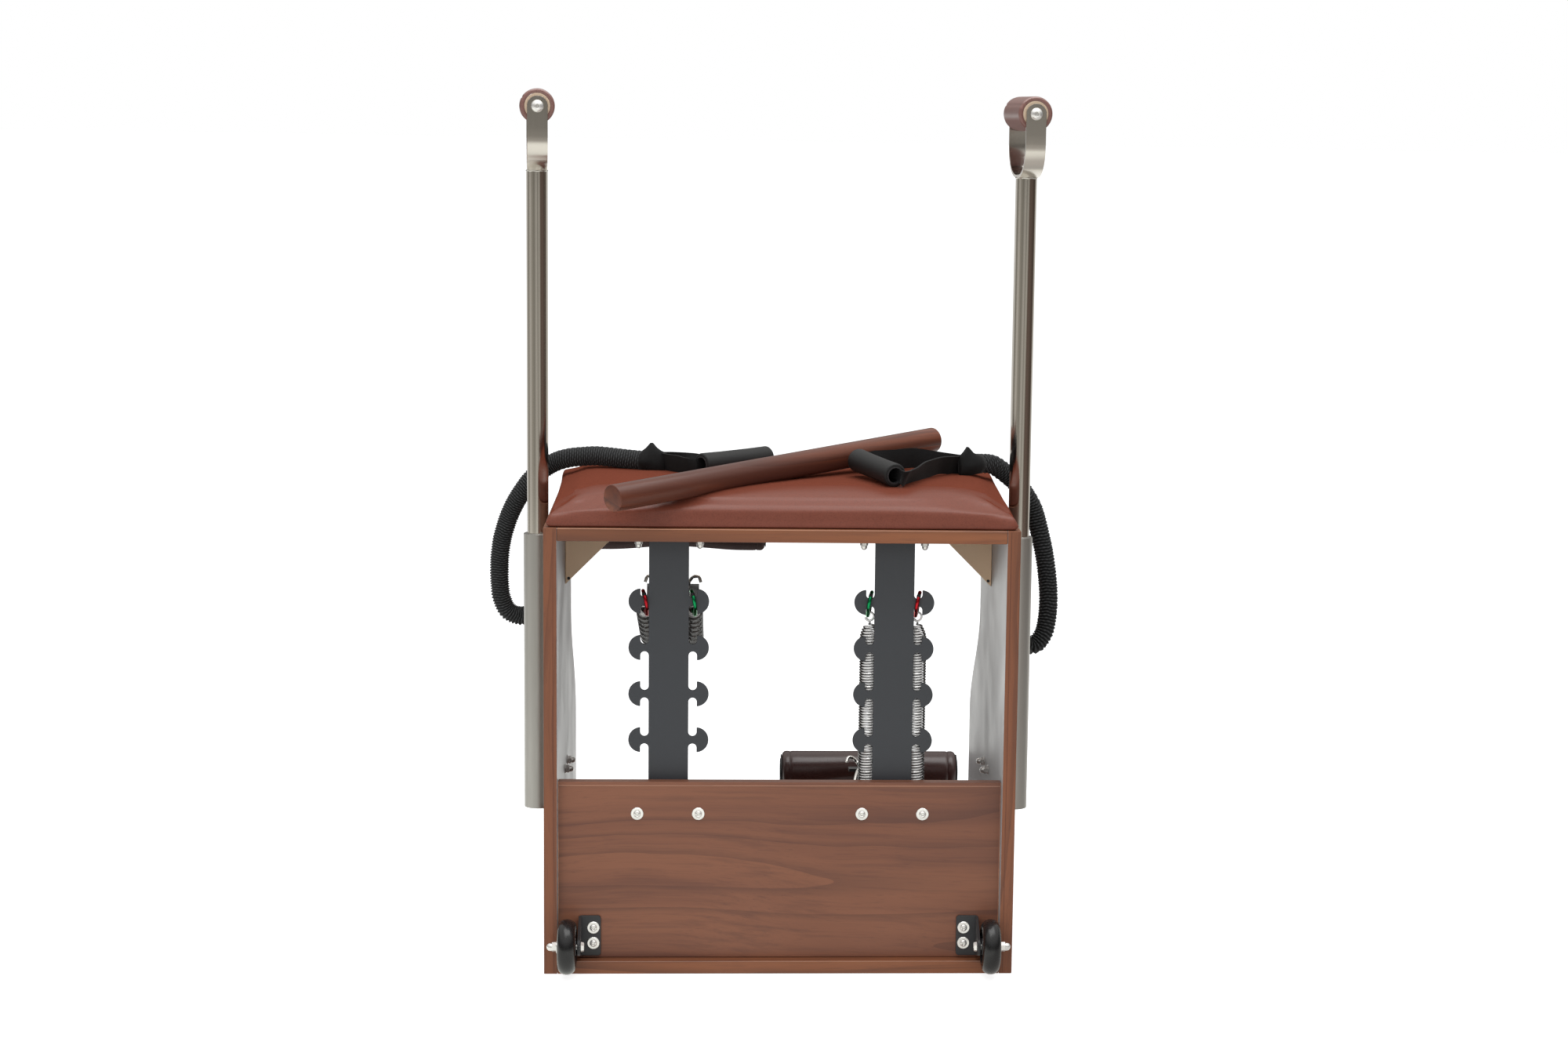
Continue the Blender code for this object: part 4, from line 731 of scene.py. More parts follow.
def joined(meshes):
    """Several meshes as one, with their UV maps and materials kept in order."""
    bm = bmesh.new()
    result = bpy.data.meshes.new("joined")
    for mesh in meshes:
        start = len(bm.faces)
        bm.from_mesh(mesh)
        bm.faces.ensure_lookup_table()
        for face in bm.faces[start:]:
            face.material_index += len(result.materials)
        for look in mesh.materials:
            result.materials.append(look)
    return written(bm, result)


def arc(centre, radius, start, end, count):
    """Points on part of a circle, from one angle in degrees to another."""
    angles = [radians(start + (end - start) * i / count) for i in range(count + 1)]
    return [(centre[0] + radius * cos(angle), centre[1] + radius * sin(angle)) for angle in angles]


def smooth_route(points, step):
    """Points about one step apart on a Catmull-Rom curve through the route's own points."""
    knots = [Vector(p) for p in points]
    knots = [2 * knots[0] - knots[1]] + knots + [2 * knots[-1] - knots[-2]]
    fine = []
    for a, b, c, d in zip(knots, knots[1:], knots[2:], knots[3:]):
        for i in range(20):
            t = i / 20
            fine.append(0.5 * ((2 * b) + (c - a) * t + (2 * a - 5 * b + 4 * c - d) * t ** 2
                               + (3 * b - a - 3 * c + d) * t ** 3))
    fine.append(knots[-2])
    length = sum((q - p).length for p, q in zip(fine, fine[1:]))
    count = max(2, round(length / step))
    spacing = length / count
    route, gone = [fine[0]], 0.0
    for p, q in zip(fine, fine[1:]):
        run = (q - p).length
        while len(route) < count and gone + run >= spacing * len(route):
            route.append(p.lerp(q, (spacing * len(route) - gone) / run))
        gone += run
    route.append(fine[-1])
    return route, length


def from_rear(point):
    return Vector((point[0], REAR_Y + point[1], point[2]))


def between(ends):
    """The place of something made along Z, centred between two points, and its half length."""
    start, end = (from_rear(p) for p in ends)
    turn = (end - start).to_track_quat("Z", "Y").to_matrix().to_4x4()
    return at(*(start + end) / 2) @ turn, (end - start).length / 2


def at(*place):
    return Matrix.Translation(place)


def turned(angle, axis):
    return Matrix.Rotation(radians(angle), 4, axis)


FACING_REAR = turned(90, "X")
FACING_SIDE = turned(90, "Z") @ FACING_REAR
LYING_ACROSS = turned(90, "Y")


# Geometry node trees
def evaluated(obj):
    """The object with its modifiers applied, as a plain mesh."""
    bpy.context.view_layer.update()
    return bpy.data.meshes.new_from_object(obj.evaluated_get(bpy.context.evaluated_depsgraph_get()))


def realised(obj):
    """The evaluated object as a plain mesh, with the helper object removed."""
    mesh = evaluated(obj)
    bpy.data.objects.remove(obj, do_unlink=True)
    return mesh


def geometry_tree(name, inputs):
    tree = bpy.data.node_groups.new(name, "GeometryNodeTree")
    tree.interface.new_socket("Geometry", in_out="INPUT", socket_type="NodeSocketGeometry")
    for label, kind in inputs:
        tree.interface.new_socket(label, in_out="INPUT", socket_type="NodeSocket" + kind)
    tree.interface.new_socket("Geometry", in_out="OUTPUT", socket_type="NodeSocketGeometry")
    return tree, tree.nodes.new("NodeGroupInput").outputs, tree.nodes.new("NodeGroupOutput")


def end_tree(tree, geometry, look, out):
    real = add(tree, "GeometryNodeRealizeInstances", {"Geometry": geometry})
    dressed = add(tree, "GeometryNodeSetMaterial", {"Geometry": real.outputs[0], "Material": look})
    tree.links.new(dressed.outputs[0], out.inputs[0])
    return tree


def run_tree(tree, obj, values):
    mod = obj.modifiers.new(tree.name, "NODES")
    mod.node_group = tree
    for item in tree.interface.items_tree:
        if item.item_type == "SOCKET" and item.in_out == "INPUT" and item.name in values:
            mod[item.identifier] = values[item.name]


def fastener_tree():
    """Stamps one fastener at each point, its axis along the point's own facing."""
    tree, given, out = geometry_tree("fasteners_on_points", [("Fastener", "Object"), ("Look", "Material")])
    stamp = add(tree, "GeometryNodeObjectInfo", {"Object": given["Fastener"]})
    facing = add(tree, "GeometryNodeInputNamedAttribute", {"Name": "facing"}, data_type="FLOAT_VECTOR")
    turn = add(tree, "FunctionNodeAlignRotationToVector", {"Vector": facing.outputs["Attribute"]}, axis="Z")
    placed = add(tree, "GeometryNodeInstanceOnPoints",
                 {"Points": given["Geometry"], "Rotation": turn.outputs[0],
                  "Instance": stamp.outputs["Geometry"]})
    return end_tree(tree, placed.outputs[0], given["Look"], out)


def coil_tree():
    """A close-wound wire down -Z whose ends draw in to a smaller radius."""
    sizes = [(label, "Float") for label in ("Length", "Radius", "End Radius", "Wire", "Turns", "Taper")]
    tree, given, out = geometry_tree("close_coil", sizes + [("Points", "Int"), ("Look", "Material")])
    line = add(tree, "GeometryNodeCurvePrimitiveLine")
    dense = add(tree, "GeometryNodeResampleCurve", {"Curve": line.outputs[0], "Count": given["Points"]})
    share = add(tree, "GeometryNodeSplineParameter").outputs["Factor"]
    turns = times(tree, share, given["Turns"])
    near = math_node(tree, "MINIMUM", turns, math_node(tree, "SUBTRACT", given["Turns"], turns))
    grow = math_node(tree, "DIVIDE", math_node(tree, "MINIMUM", near, given["Taper"]), given["Taper"])
    eased = math_node(tree, "SINE", times(tree, grow, pi / 2))
    spread = math_node(tree, "SUBTRACT", given["Radius"], given["End Radius"])
    radius = math_node(tree, "MULTIPLY_ADD", eased, spread, given["End Radius"])
    angle = times(tree, turns, 2 * pi)
    spot = add(tree, "ShaderNodeCombineXYZ", {
        0: times(tree, radius, math_node(tree, "SINE", angle)),
        1: times(tree, radius, math_node(tree, "COSINE", angle)),
        2: times(tree, times(tree, share, given["Length"]), -1.0)})
    moved = add(tree, "GeometryNodeSetPosition", {"Geometry": dense.outputs[0], "Position": spot.outputs[0]})
    ring = add(tree, "GeometryNodeCurvePrimitiveCircle", {"Resolution": 8, "Radius": given["Wire"]})
    wire = add(tree, "GeometryNodeCurveToMesh", {"Curve": moved.outputs[0], "Profile Curve": ring.outputs[0],
                                                 "Fill Caps": True})
    return end_tree(tree, wire.outputs[0], given["Look"], out)


def stamp_fasteners(name, stamp, spots, look="zinc"):
    """One mesh of fasteners: spots are (place, facing) pairs."""
    mesh = mesh_from(name, [spot for spot, _ in spots], [])
    facing = mesh.attributes.new("facing", "FLOAT_VECTOR", "POINT")
    for item, (_, direction) in zip(facing.data, spots):
        item.vector = direction
    points = helper_object(name + "_spots", mesh)
    fastener = helper_object(name + "_stamp", stamp)
    run_tree(TREES["fasteners"], points, {"Fastener": fastener, "Look": LOOK[look]})
    result = realised(points)
    bpy.data.objects.remove(fastener, do_unlink=True)
    piece(name, tidy(result), look, "frame")


# Frame boards
def build_side_panels():
    """Walnut outside and on the edges, pale laminate inside, and a swept front edge."""
    front_y, top_y = REAR_Y + PANEL_BASE_DEPTH, REAR_Y + PANEL_TOP_DEPTH
    front, steps = [], 48
    for i in range(steps + 1):
        ease = (1 - cos(pi * i / steps)) / 2
        front.append((front_y + (PANEL_TOP_DEPTH - PANEL_BASE_DEPTH) * ease,
                      SWEEP_BOTTOM_Z + (SWEEP_TOP_Z - SWEEP_BOTTOM_Z) * i / steps))
    outline = [(REAR_Y, 0), (front_y, 0)] + front + [(top_y, FRAME_HEIGHT), (REAR_Y, FRAME_HEIGHT)]
    for side, sign in SIDES.items():
        centre = at(sign * (FRAME_WIDTH / 2 - BOARD / 2), 0, 0)
        mesh = extruded(outline, -BOARD / 2, BOARD / 2, centre @ FACING_SIDE)
        for look in ("walnut_upright", "laminate", "walnut_outer"):
            mesh.materials.append(LOOK[look])
        for face in mesh.polygons:
            across = face.normal.x * sign
            face.material_index = 1 if across < -0.9 else 2 if across > 0.9 else 0
        piece(side + "_panel", mesh, None, "frame", side + "_side_panel", 0.0009, 2)


def build_boards():
    """The boards between the side panels, and the two gussets with their screws."""
    for node, look in (("top_board", "walnut_boards"), ("base_board", "walnut_boards"),
                       ("back_board", "walnut_back")):
        piece(node + "_finish", box_mesh(*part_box(node)), look, "frame", node, 0.001, 3)
    spots = []
    for side, sign in SIDES.items():
        low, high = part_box(side + "_gusset")
        corner_x = high[0] if sign > 0 else low[0]
        legs = [(corner_x, high[2]), (corner_x - sign * (high[0] - low[0]), high[2]), (corner_x, low[2])]
        piece(side + "_gusset_finish", extruded(legs, -high[1], -low[1], FACING_REAR), "taupe", "frame",
              side + "_gusset", 0.0008, 2)
        spots.append(((corner_x - sign * 0.0045, low[1], low[2] + 0.0085), (0, -1, 0)))
    screw = mm("0 0.2, 1.2 0.2, 1.9 0.6, 2.2 0, 0 0")
    stamp_fasteners("gusset_screws", lathe(screw, 16), spots, "arm")
    band_lines()


def band_lines():
    """Raw joints: pale where each edge band meets its board's face, dark between panel layers."""
    line, proud, into = 0.0009, 0.00016, 0.001
    pale, dark = [], []
    for node, drop in (("back_board", 0.0054), ("top_board", 0.0014), ("base_board", 0.001)):
        low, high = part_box(node)
        z = high[2] - drop
        pale.append(box_mesh((low[0], low[1] - proud, z), (high[0], low[1] + into, z + line)))
    low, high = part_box("back_board")
    for x in (low[0], high[0] - line):
        pale.append(box_mesh((x, low[1] - proud, low[2]), (x + line, low[1] + into, high[2])))
    for sign in SIDES.values():
        x = sign * (FRAME_WIDTH / 2 - 0.0128)
        dark.append(box_mesh((x - line / 2, REAR_Y - proud, 0.002),
                             (x + line / 2, REAR_Y + into, FRAME_HEIGHT - 0.002)))
    piece("edge_band_lines", joined(pale), "band_edge", "frame")
    piece("panel_band_lines", joined(dark), "band_joint", "frame")


# Seat cushion
def cushion_form(low, high):
    """The seat's closed form, a little slack before it is filled: low behind, full in front."""
    rear_height, front_more, middle_more = 0.0205, 0.015, 0.009
    slack, tuck, rounding, waist = 0.001, 0.0006, 0.0036, 0.0035
    centre = [(a + b) / 2 for a, b in zip(low, high)]
    half = [(b - a) / 2 for a, b in zip(low, high)]
    bm = bmesh.new()
    bmesh.ops.create_cube(bm, size=2.0)
    bmesh.ops.subdivide_edges(bm, edges=bm.edges, cuts=23, use_grid_fill=True)
    for vert in bm.verts:
        u, v, w = vert.co
        level = (w + 1) / 2
        edge = rear_height + front_more * sin(pi * (v + 1) / 4) + middle_more * (1 - u ** 4)
        rise = (1 - u ** 6) * (1 - v ** (4 if v < 0 else 8))
        height = edge + (high[2] - low[2] - slack - edge) * rise
        inset = 0.0002 + tuck * (1 - cos(0.5 * pi * w)) + rounding * level ** 8
        vert.co.x = centre[0] + u * (half[0] - inset - waist * (1 - v * v))
        vert.co.y = centre[1] + v * (half[1] - inset - waist * (1 - u * u))
        vert.co.z = low[2] + level * height
    return written(bm, bpy.data.meshes.new("seat_form"))


def fill_with_cloth(obj, voxel, pressure, frames, cap, pinned):
    """Remeshes a soft form and fills it as a sewn cover fills, with its moves evened out and capped."""
    remesh = obj.modifiers.new("even_mesh", "REMESH")
    remesh.mode = "VOXEL"
    remesh.voxel_size = voxel
    mesh = evaluated(obj)
    obj.modifiers.clear()
    obj.data = mesh
    group = obj.vertex_groups.new(name="held")
    group.add([v.index for v in mesh.vertices if pinned(v.co)], 1.0, "REPLACE")
    cloth = obj.modifiers.new("cover", "CLOTH")
    for key, value in dict(quality=4, mass=0.25, use_pressure=True, uniform_pressure_force=pressure,
                           tension_stiffness=18, compression_stiffness=12, bending_stiffness=3.0,
                           vertex_group_mass="held").items():
        setattr(cloth.settings, key, value)
    cloth.settings.effector_weights.gravity = 0
    cloth.point_cache.frame_start, cloth.point_cache.frame_end = 1, frames
    scene = bpy.context.scene
    for number in range(1, frames + 1):
        scene.frame_set(number)
    filled = evaluated(obj)
    moves = [end.co - start.co for start, end in zip(mesh.vertices, filled.vertices)]
    pairs = [tuple(edge.vertices) for edge in mesh.edges]
    for _ in range(8):
        sums, counts = [move.copy() for move in moves], [1] * len(moves)
        for a, b in pairs:
            sums[a] += moves[b]
            sums[b] += moves[a]
            counts[a] += 1
            counts[b] += 1
        moves = [total / count for total, count in zip(sums, counts)]
    for vert, move in zip(mesh.vertices, moves):
        vert.co += move.normalized() * min(cap, move.length)
    obj.modifiers.clear()
    obj.vertex_groups.clear()
    scene.frame_set(1)


def build_seat():
    low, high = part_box("seat_cushion")
    obj = helper_object("seat_form", cushion_form(low, high))
    hem_z = low[2] + 0.0015
    fill_with_cloth(obj, voxel=0.0055, pressure=4.0, frames=20, cap=0.005, pinned=lambda co: co.z < hem_z)
    mesh = obj.data.copy()
    bpy.data.objects.remove(obj, do_unlink=True)
    for vert in mesh.vertices:
        vert.co.z = max(vert.co.z, low[2])
        pull_corner(vert.co, low, high)
    seat = piece("seat_cushion_cover", mesh, "seat", "frame", "seat_cushion", subdivide=1,
                 angle=180)


def pull_corner(co, low, high):
    """Draws the cover in and down where it is folded under at each corner."""
    reach, rim, folds, depth, drop = 0.055, 0.012, 8.0, 0.0004, 0.003
    for x in (low[0], high[0]):
        for y in (low[1], high[1]):
            dx, dy = abs(co.x - x), abs(co.y - y)
            near = max(0.0, 1 - hypot(dx, dy) / reach) ** 2
            if near > 0 and co.z > low[2] + 0.003:
                fold = sin(folds * atan2(dy, dx)) * min(1.0, hypot(dx, dy) / rim)
                co.z += depth * fold * near - drop * near * min(1.0, (co.z - low[2]) / rim)


# Spring posts
def hook_side(sign, level_z):
    """One mushroom hook's outline from its upper slot round to its lower slot."""
    reach = SLOT_WIDTH - HOOK_OFFSET
    opening = degrees(acos(reach / HOOK_RADIUS))
    radius = SLOT_WIDTH / 2
    top_z, low_z = (level_z + s * (NECK_HEIGHT / 2 + radius) for s in (1, -1))
    side = (arc((SLOT_X, top_z), radius, 180, 360, 16)
            + arc((POST_HALF + HOOK_OFFSET, level_z), HOOK_RADIUS, opening, -opening, 40)
            + arc((SLOT_X, low_z), radius, 0, 180, 16))
    return [(sign * a, b) for a, b in side]


def build_posts():
    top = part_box("left_spring_post")[1][2]
    foot = [(POST_HALF, 0.258)] + mm("52.5 258, 52.5 200, 19 200, 19 242")
    spots = []
    for side, sign in SIDES.items():
        right, left = [(POST_HALF, top)], []
        for level in range(4):
            right += hook_side(1, HOOK_TOP_Z - level * HOOK_PITCH)
            left += hook_side(-1, HOOK_TOP_Z - level * HOOK_PITCH)
        outline = right + foot + [(-a, b) for a, b in reversed(foot)] + list(reversed(left))
        outline.append((-POST_HALF, top))
        place = at(sign * POST_X, 0, 0) @ FACING_REAR
        plate = extruded(outline, -(POST_Y + POST_PLATE), -POST_Y, place)
        flange = box_mesh((sign * POST_X - foot[1][0], POST_Y, top - POST_PLATE),
                          (sign * POST_X + foot[1][0], POST_Y + 0.04, top))
        piece(side + "_post_plate", joined([plate, flange]), "post", "frame",
              side + "_spring_post", 0.0004, 1)
        spots += [((sign * POST_X + out, POST_Y + 0.018, top - POST_PLATE), (0, 0, -1))
                  for out in (-BOLT_X, BOLT_X)]
    stamp_fasteners("top_cap_nuts", cap_nut(), spots)


# Fasteners
def cap_nut():
    """Washer, hex and dome, along +Z from the face it sits on."""
    washer = lathe(mm("0 1.2, 6.8 1.2, 7.2 0.8, 7.2 0, 0 0"), 24)
    hexagon = lathe(mm("0 6.2, 5 6.2, 5.6 5.6, 5.6 1.1, 0 1.1"), 6)
    dome = [(0, 0.0122)] + [(0.0045 * sin(radians(15 * i)), 0.0077 + 0.0045 * cos(radians(15 * i)))
                            for i in range(1, 7)]
    dome = lathe(dome + [(0.0045, 0.006), (0, 0.006)], 24)
    return joined([washer, hexagon, dome])


def washered_bolt(washer=0.0086):
    """A button-head bolt with its socket, on a plain washer, along +Z from the board."""
    ring = lathe([(0.005, 0.0014), (washer - 0.0005, 0.0016), (washer, 0.0011), (washer, 0), (0, 0)], 40)
    head = lathe(mm("0 2, 1.9 2, 2.1 4.4, 2.5 4.8, 3.8 4.3, 4.7 3, 5 1.6, 4.6 1, 0 1"), 32)
    return joined([ring, head])


def build_fasteners():
    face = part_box("left_wheel_bracket")[1][1] - BRACKET_THICK
    bolts, plates, nuts = [], [], []
    for sign in SIDES.values():
        bolts += [((sign * POST_X + out, BACK_FACE_Y, 0.22), (0, -1, 0)) for out in (-BOLT_X, BOLT_X)]
        plates += [((sign * 0.2535, face, z), (0, -1, 0)) for z in (0.0398, 0.0615)]
        nuts += [((sign * INNER_X, POLE_Y + out, 0.238), (-sign, 0, 0)) for out in (-0.03, 0.03)]
    stamp_fasteners("back_board_bolts", washered_bolt(), bolts)
    stamp_fasteners("wheel_bracket_bolts", washered_bolt(0.0084), plates)
    stamp_fasteners("sleeve_nuts", cap_nut(), nuts)


# Pedals
def pedal_place(side):
    return at(SIDES[side] * POST_X, *PIVOT) @ turned(PEDAL_ANGLE[side], "X")


def pad_form():
    """The padded roller along X: soft ends, drawn in at both seams and under the arm."""
    sides, seam, roll, flat = 72, 0.013, 0.007, 0.04
    stations = [0.0, 0.0008, 0.002, 0.004, 0.006, 0.009, seam - 0.0014, seam, seam + 0.0014, 0.018, 0.026]
    stations += [flat] + [flat + (PAD_HALF - flat) * i / 9 for i in range(1, 10)]
    xs = [-PAD_HALF + s for s in stations] + [PAD_HALF - s for s in reversed(stations[:-1])]
    verts = []
    for row, x in enumerate([-PAD_HALF] + xs + [PAD_HALF]):
        for angle in circle(sides):
            r = PEDAL_TUBE_RADIUS + TOUCH
            if 0 < row <= len(xs):
                end = PAD_HALF - abs(x)
                inset = roll - sqrt(max(0.0, roll ** 2 - (roll - min(roll, end)) ** 2))
                groove = 0.0011 * exp(-((end - seam) / 0.0011) ** 2)
                middle = (1 + cos(pi * min(1.0, abs(x) / (PAD_HALF * 0.75)))) / 2
                towards = max(0.0, cos(angle - radians(215))) ** 2
                wave = 0.00035 * noise.noise(Vector((x * 22, cos(angle) * 1.4, sin(angle) * 1.4)))
                r = PAD_RADIUS - inset - groove - 0.006 * towards * middle + wave
            verts.append(Vector((x, r * cos(angle), r * sin(angle))))
    return mesh_from("pad", verts, rows_closed(sides, len(xs) + 2, True))


def build_pedals():
    for side in SIDES:
        body = side + "_pedal"
        hinge = pedal_place(side)
        pad_place = hinge @ at(0, ARM_LENGTH, 0)
        pad = piece(side + "_pad_cover", tidy(pad_form(), place=pad_place), "pedal", body,
                    side + "_pedal_pad")
        half, outer = PEDAL_TUBE_HALF, PEDAL_TUBE_RADIUS
        ring = mirrored([(outer - 0.0015, half), (outer - 0.0004, half), (outer, half - 0.0004)])
        piece(side + "_pedal_core", lathe(ring, 64, True, pad_place @ LYING_ACROSS), "black", body,
              side + "_pedal_tube")
        plates = []
        for end in (-1, 1):
            low, high = sorted((end * (PAD_HALF + TOUCH), end * (PAD_HALF + 0.0018)))
            rim = [(0.0265, high), (0.0268, low), (outer + TOUCH, low), (outer + TOUCH, high)]
            plates.append(lathe(rim, 64, True, pad_place @ LYING_ACROSS))
        piece(side + "_pad_end_plates", joined(plates), "liner", body)
        hooks = [tube("hook", [hinge @ p for p in spring_hook_points(sign)], 0.00235, 14) for sign in (-1, 1)]
        piece(side + "_spring_hook_rods", joined(hooks), "bright", body)
        dress(side + "_pedal_arm", "arm")
        dress(side + "_hinge_bracket", "black")
        dress(side + "_pivot_pin", "zinc")


def spring_hook_points(sign):
    """The bent rod that takes a spring's lower eye and curls over the cross plate."""
    on_plate = ARM_DEPTH / 2 + 0.004 + HOOK_ROD * 0.6
    near, edge = CROSS_PLATE_AT - 0.018, CROSS_PLATE_AT + 0.018
    bar, root = Vector((SLOT_X, *LOWER_HOOK)), Vector((0.022, near, on_plate))
    points = [bar - Vector((0, 0.008, 0.009)), bar]
    points += [bar + Vector(share) * (root - bar) for share in ((0.07, 0.28, 0.43), (0.49, 0.68, 0.85))]
    curl = mm("0 -10 0, 3.5 0 6, 10 2 12, 16.5 0 12, 19 -5 6")
    points += [root] + [Vector((0.022, edge, on_plate)) + Vector(step) for step in curl]
    return [Vector((sign * p.x, p.y, p.z)) for p in smooth_route(points, 0.003)[0]]


def dress(node, look):
    """Gives a frame node that keeps its own shape a finished material."""
    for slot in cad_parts[node].material_slots:
        slot.material = LOOK[look]


# Springs and carabiners
def spring_mesh(length):
    """Eye, run-in, close coil, run-out and eye of one spring, down -Z from its upper eye."""
    lead, turns = 2 * EYE_RADIUS, 72
    helper = helper_object("coil", bpy.data.meshes.new("coil_seed"))
    sizes = {"Length": length - 2 * lead, "Radius": 0.0121, "End Radius": 0.0062, "Wire": SPRING_WIRE,
             "Turns": float(turns), "Taper": 5.0, "Points": turns * 16, "Look": LOOK["spring"]}
    run_tree(TREES["coil"], helper, sizes)
    coil = realised(helper)
    coil.transform(at(0, 0, -lead))
    eye = [Vector((EYE_RADIUS * sin(angle), 0, EYE_RADIUS * cos(angle)))
           for angle in (radians(a - 75) for a in range(0, 331, 15))]
    eye += smooth_route([eye[-1], (0.0005, 0.002, -lead + 0.004), (0, 0.0062, -lead)], 0.001)[0][1:]
    upper = tube("eye", eye, SPRING_WIRE, 8)
    lower = upper.copy()
    lower.transform(at(0, 0, -length) @ turned(180, "Y"))
    return tidy(joined([coil, upper, lower]))


def snap_hook(place, look):
    """Anodised body, wire gate, black nose sleeve and hinge end of one carabiner."""
    top, low = (0, 0), (0, -RING_STRAIGHT)
    spine = arc(top, RING_HALF_WIDTH, 12, 180, 24) + arc(low, RING_HALF_WIDTH, 180, 330, 22)
    gate = mm("12.2 2.6, 11.8 -4, 11.4 -12, 10.8 -22.2")
    shapes = []
    for points, radius, finish_name in ((spine, RING_ROD, look), (gate, 0.0019, "zinc"),
                                        (arc(top, RING_HALF_WIDTH, 76, 96, 4), RING_ROD + 0.0003, "liner"),
                                        (arc(low, RING_HALF_WIDTH, 268, 286, 4), RING_ROD + 0.0002, "liner")):
        mesh = tube("hook", [(0, y, z) for y, z in points], radius, 16)
        mesh.materials.append(LOOK[finish_name])
        mesh.transform(place)
        shapes.append(mesh)
    return joined(shapes)


def eye_seat(bar_radius):
    """How far a loaded eye's centre lies from the bar it bears on."""
    return EYE_RADIUS * cos(radians(25)) - 0.0016 - bar_radius - 0.0006


def build_springs():
    colours = {("left", -1): "red", ("left", 1): "green", ("right", -1): "green", ("right", 1): "red"}
    for side, sign in SIDES.items():
        for slot_sign, slot_name in ((-1, "left"), (1, "right")):
            name = side + "_post_" + slot_name
            body = "frame" if side == "left" else slot_name + "_free_spring"
            ring_at = Vector((sign * POST_X + slot_sign * SLOT_X, POST_Y + RING_SEAT[0],
                              HOOK_TOP_Z + RING_SEAT[1]))
            turn = Matrix.Rotation(RING_TILT, 4, "X") @ turned(-13 * sign, "Z")
            colour = colours[side, slot_sign]
            piece(name + "_snap_hook", snap_hook(at(*ring_at) @ turn, colour), None, body,
                  name + "_carabiner")
            low_arc = ring_at + RING_STRAIGHT * Vector((0, sin(RING_TILT), -cos(RING_TILT)))
            pull, length = Vector((0, 0, -1)), SPRING_FREE_LENGTH
            if side == "left":
                bar = pedal_place("left") @ Vector((slot_sign * SLOT_X, *LOWER_HOOK))
                pull = (bar - low_arc).normalized()
                length = (bar - low_arc).length - RING_HALF_WIDTH - eye_seat(RING_ROD) - eye_seat(HOOK_ROD)
            start = low_arc + pull * (RING_HALF_WIDTH + eye_seat(RING_ROD))
            mesh = spring_mesh(length)
            # Painted shade: reach marks the left springs' coils below their upper eye for their material to
            # darken
            reach = [-v.co.z if side == "left" else 0.0 for v in mesh.vertices]
            mesh.attributes.new("reach", "FLOAT", "POINT").data.foreach_set("value", reach)
            mesh.transform(at(*start) @ Matrix.Rotation(atan2(pull.y, -pull.z), 4, "X"))
            coil = piece(name + "_coil", mesh, "spring", None if side == "left" else body,
                         name + "_spring")
            if side == "left":
                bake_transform(coil)


# Handle poles
def build_sleeves():
    """A round socket drawn out of a plate against the panel, with a rolled lip round the pole."""
    face_x, top, flange, width = FRAME_WIDTH / 2 + TOUCH, SLEEVE_BOTTOM_Z + SLEEVE_HEIGHT, 0.004, 0.042
    for side, sign in SIDES.items():
        half = [(0, width), (flange - 0.0008, width), (flange, width - 0.0008), (flange, 0.0195),
                (0.006, 0.0178)]
        outline = [(a, -b) for a, b in half] + arc((POLE_X - face_x, 0), SLEEVE_RADIUS, 232, 488, 48)
        outline = [(sign * a, b) for a, b in outline + list(reversed(half))]
        body = extruded(outline, SLEEVE_BOTTOM_Z, top, at(sign * face_x, POLE_Y, 0))
        lip = [(r, top + up) for r, up in mm("18.8 0.6, 19.4 0.2, 19.4 -1, 15.3 -1, 15.3 0.4, 15.8 0.6")]
        collar = lathe(lip, 64, True, at(sign * POLE_X, POLE_Y, 0))
        piece(side + "_sleeve_extrusion", joined([body, collar]), "sleeve", "frame",
              side + "_pole_sleeve", 0.0004, 1)


def fork_mesh():
    """The bent strap seen from the side, cut to rounded ends seen from the front."""
    bottom, half, steps = POLE_TOP_Z + TOUCH, ROLLER_LENGTH / 2 + 0.001 + FORK_STRAP / 2, 24
    low, wide = bottom + FORK_STRAP / 2, FORK_WIDTH / 2
    line = [(0.0, low, wide)]
    for i in range(1, steps + 1):
        angle = radians(90 * i / steps)
        line.append((half * sin(angle) ** 0.8,
                     low + (FORK_BEND_Z - bottom - FORK_STRAP / 2) * (1 - cos(angle) ** 0.9), wide))
    line += [(half, FORK_BEND_Z + (FORK_AXLE_Z - FORK_BEND_Z) * s, wide) for s in (0.3, 0.6, 0.8, 1.0)]
    line += [(half, FORK_AXLE_Z + wide * b, wide * a + 0.0002) for a, b in arc((0, 0), 1, 9, 90, 9)]
    line = [(-y, z, w) for y, z, w in reversed(line)] + line[1:]
    verts = []
    for i, (y, z, w) in enumerate(line):
        before, after = line[max(0, i - 1)], line[min(len(line) - 1, i + 1)]
        t = Vector((0, after[0] - before[0], after[1] - before[1])).normalized()
        n = Vector((0, -t.z, t.y)) * (FORK_STRAP / 2)
        verts += [Vector((sx * w, y, z)) + n * sn for sx, sn in ((-1, 1), (1, 1), (1, -1), (-1, -1))]
    faces = rows_closed(4, len(line), False) + [(3, 2, 1, 0), tuple(len(verts) - 4 + k for k in range(4))]
    return tidy(mesh_from("fork", verts, faces))


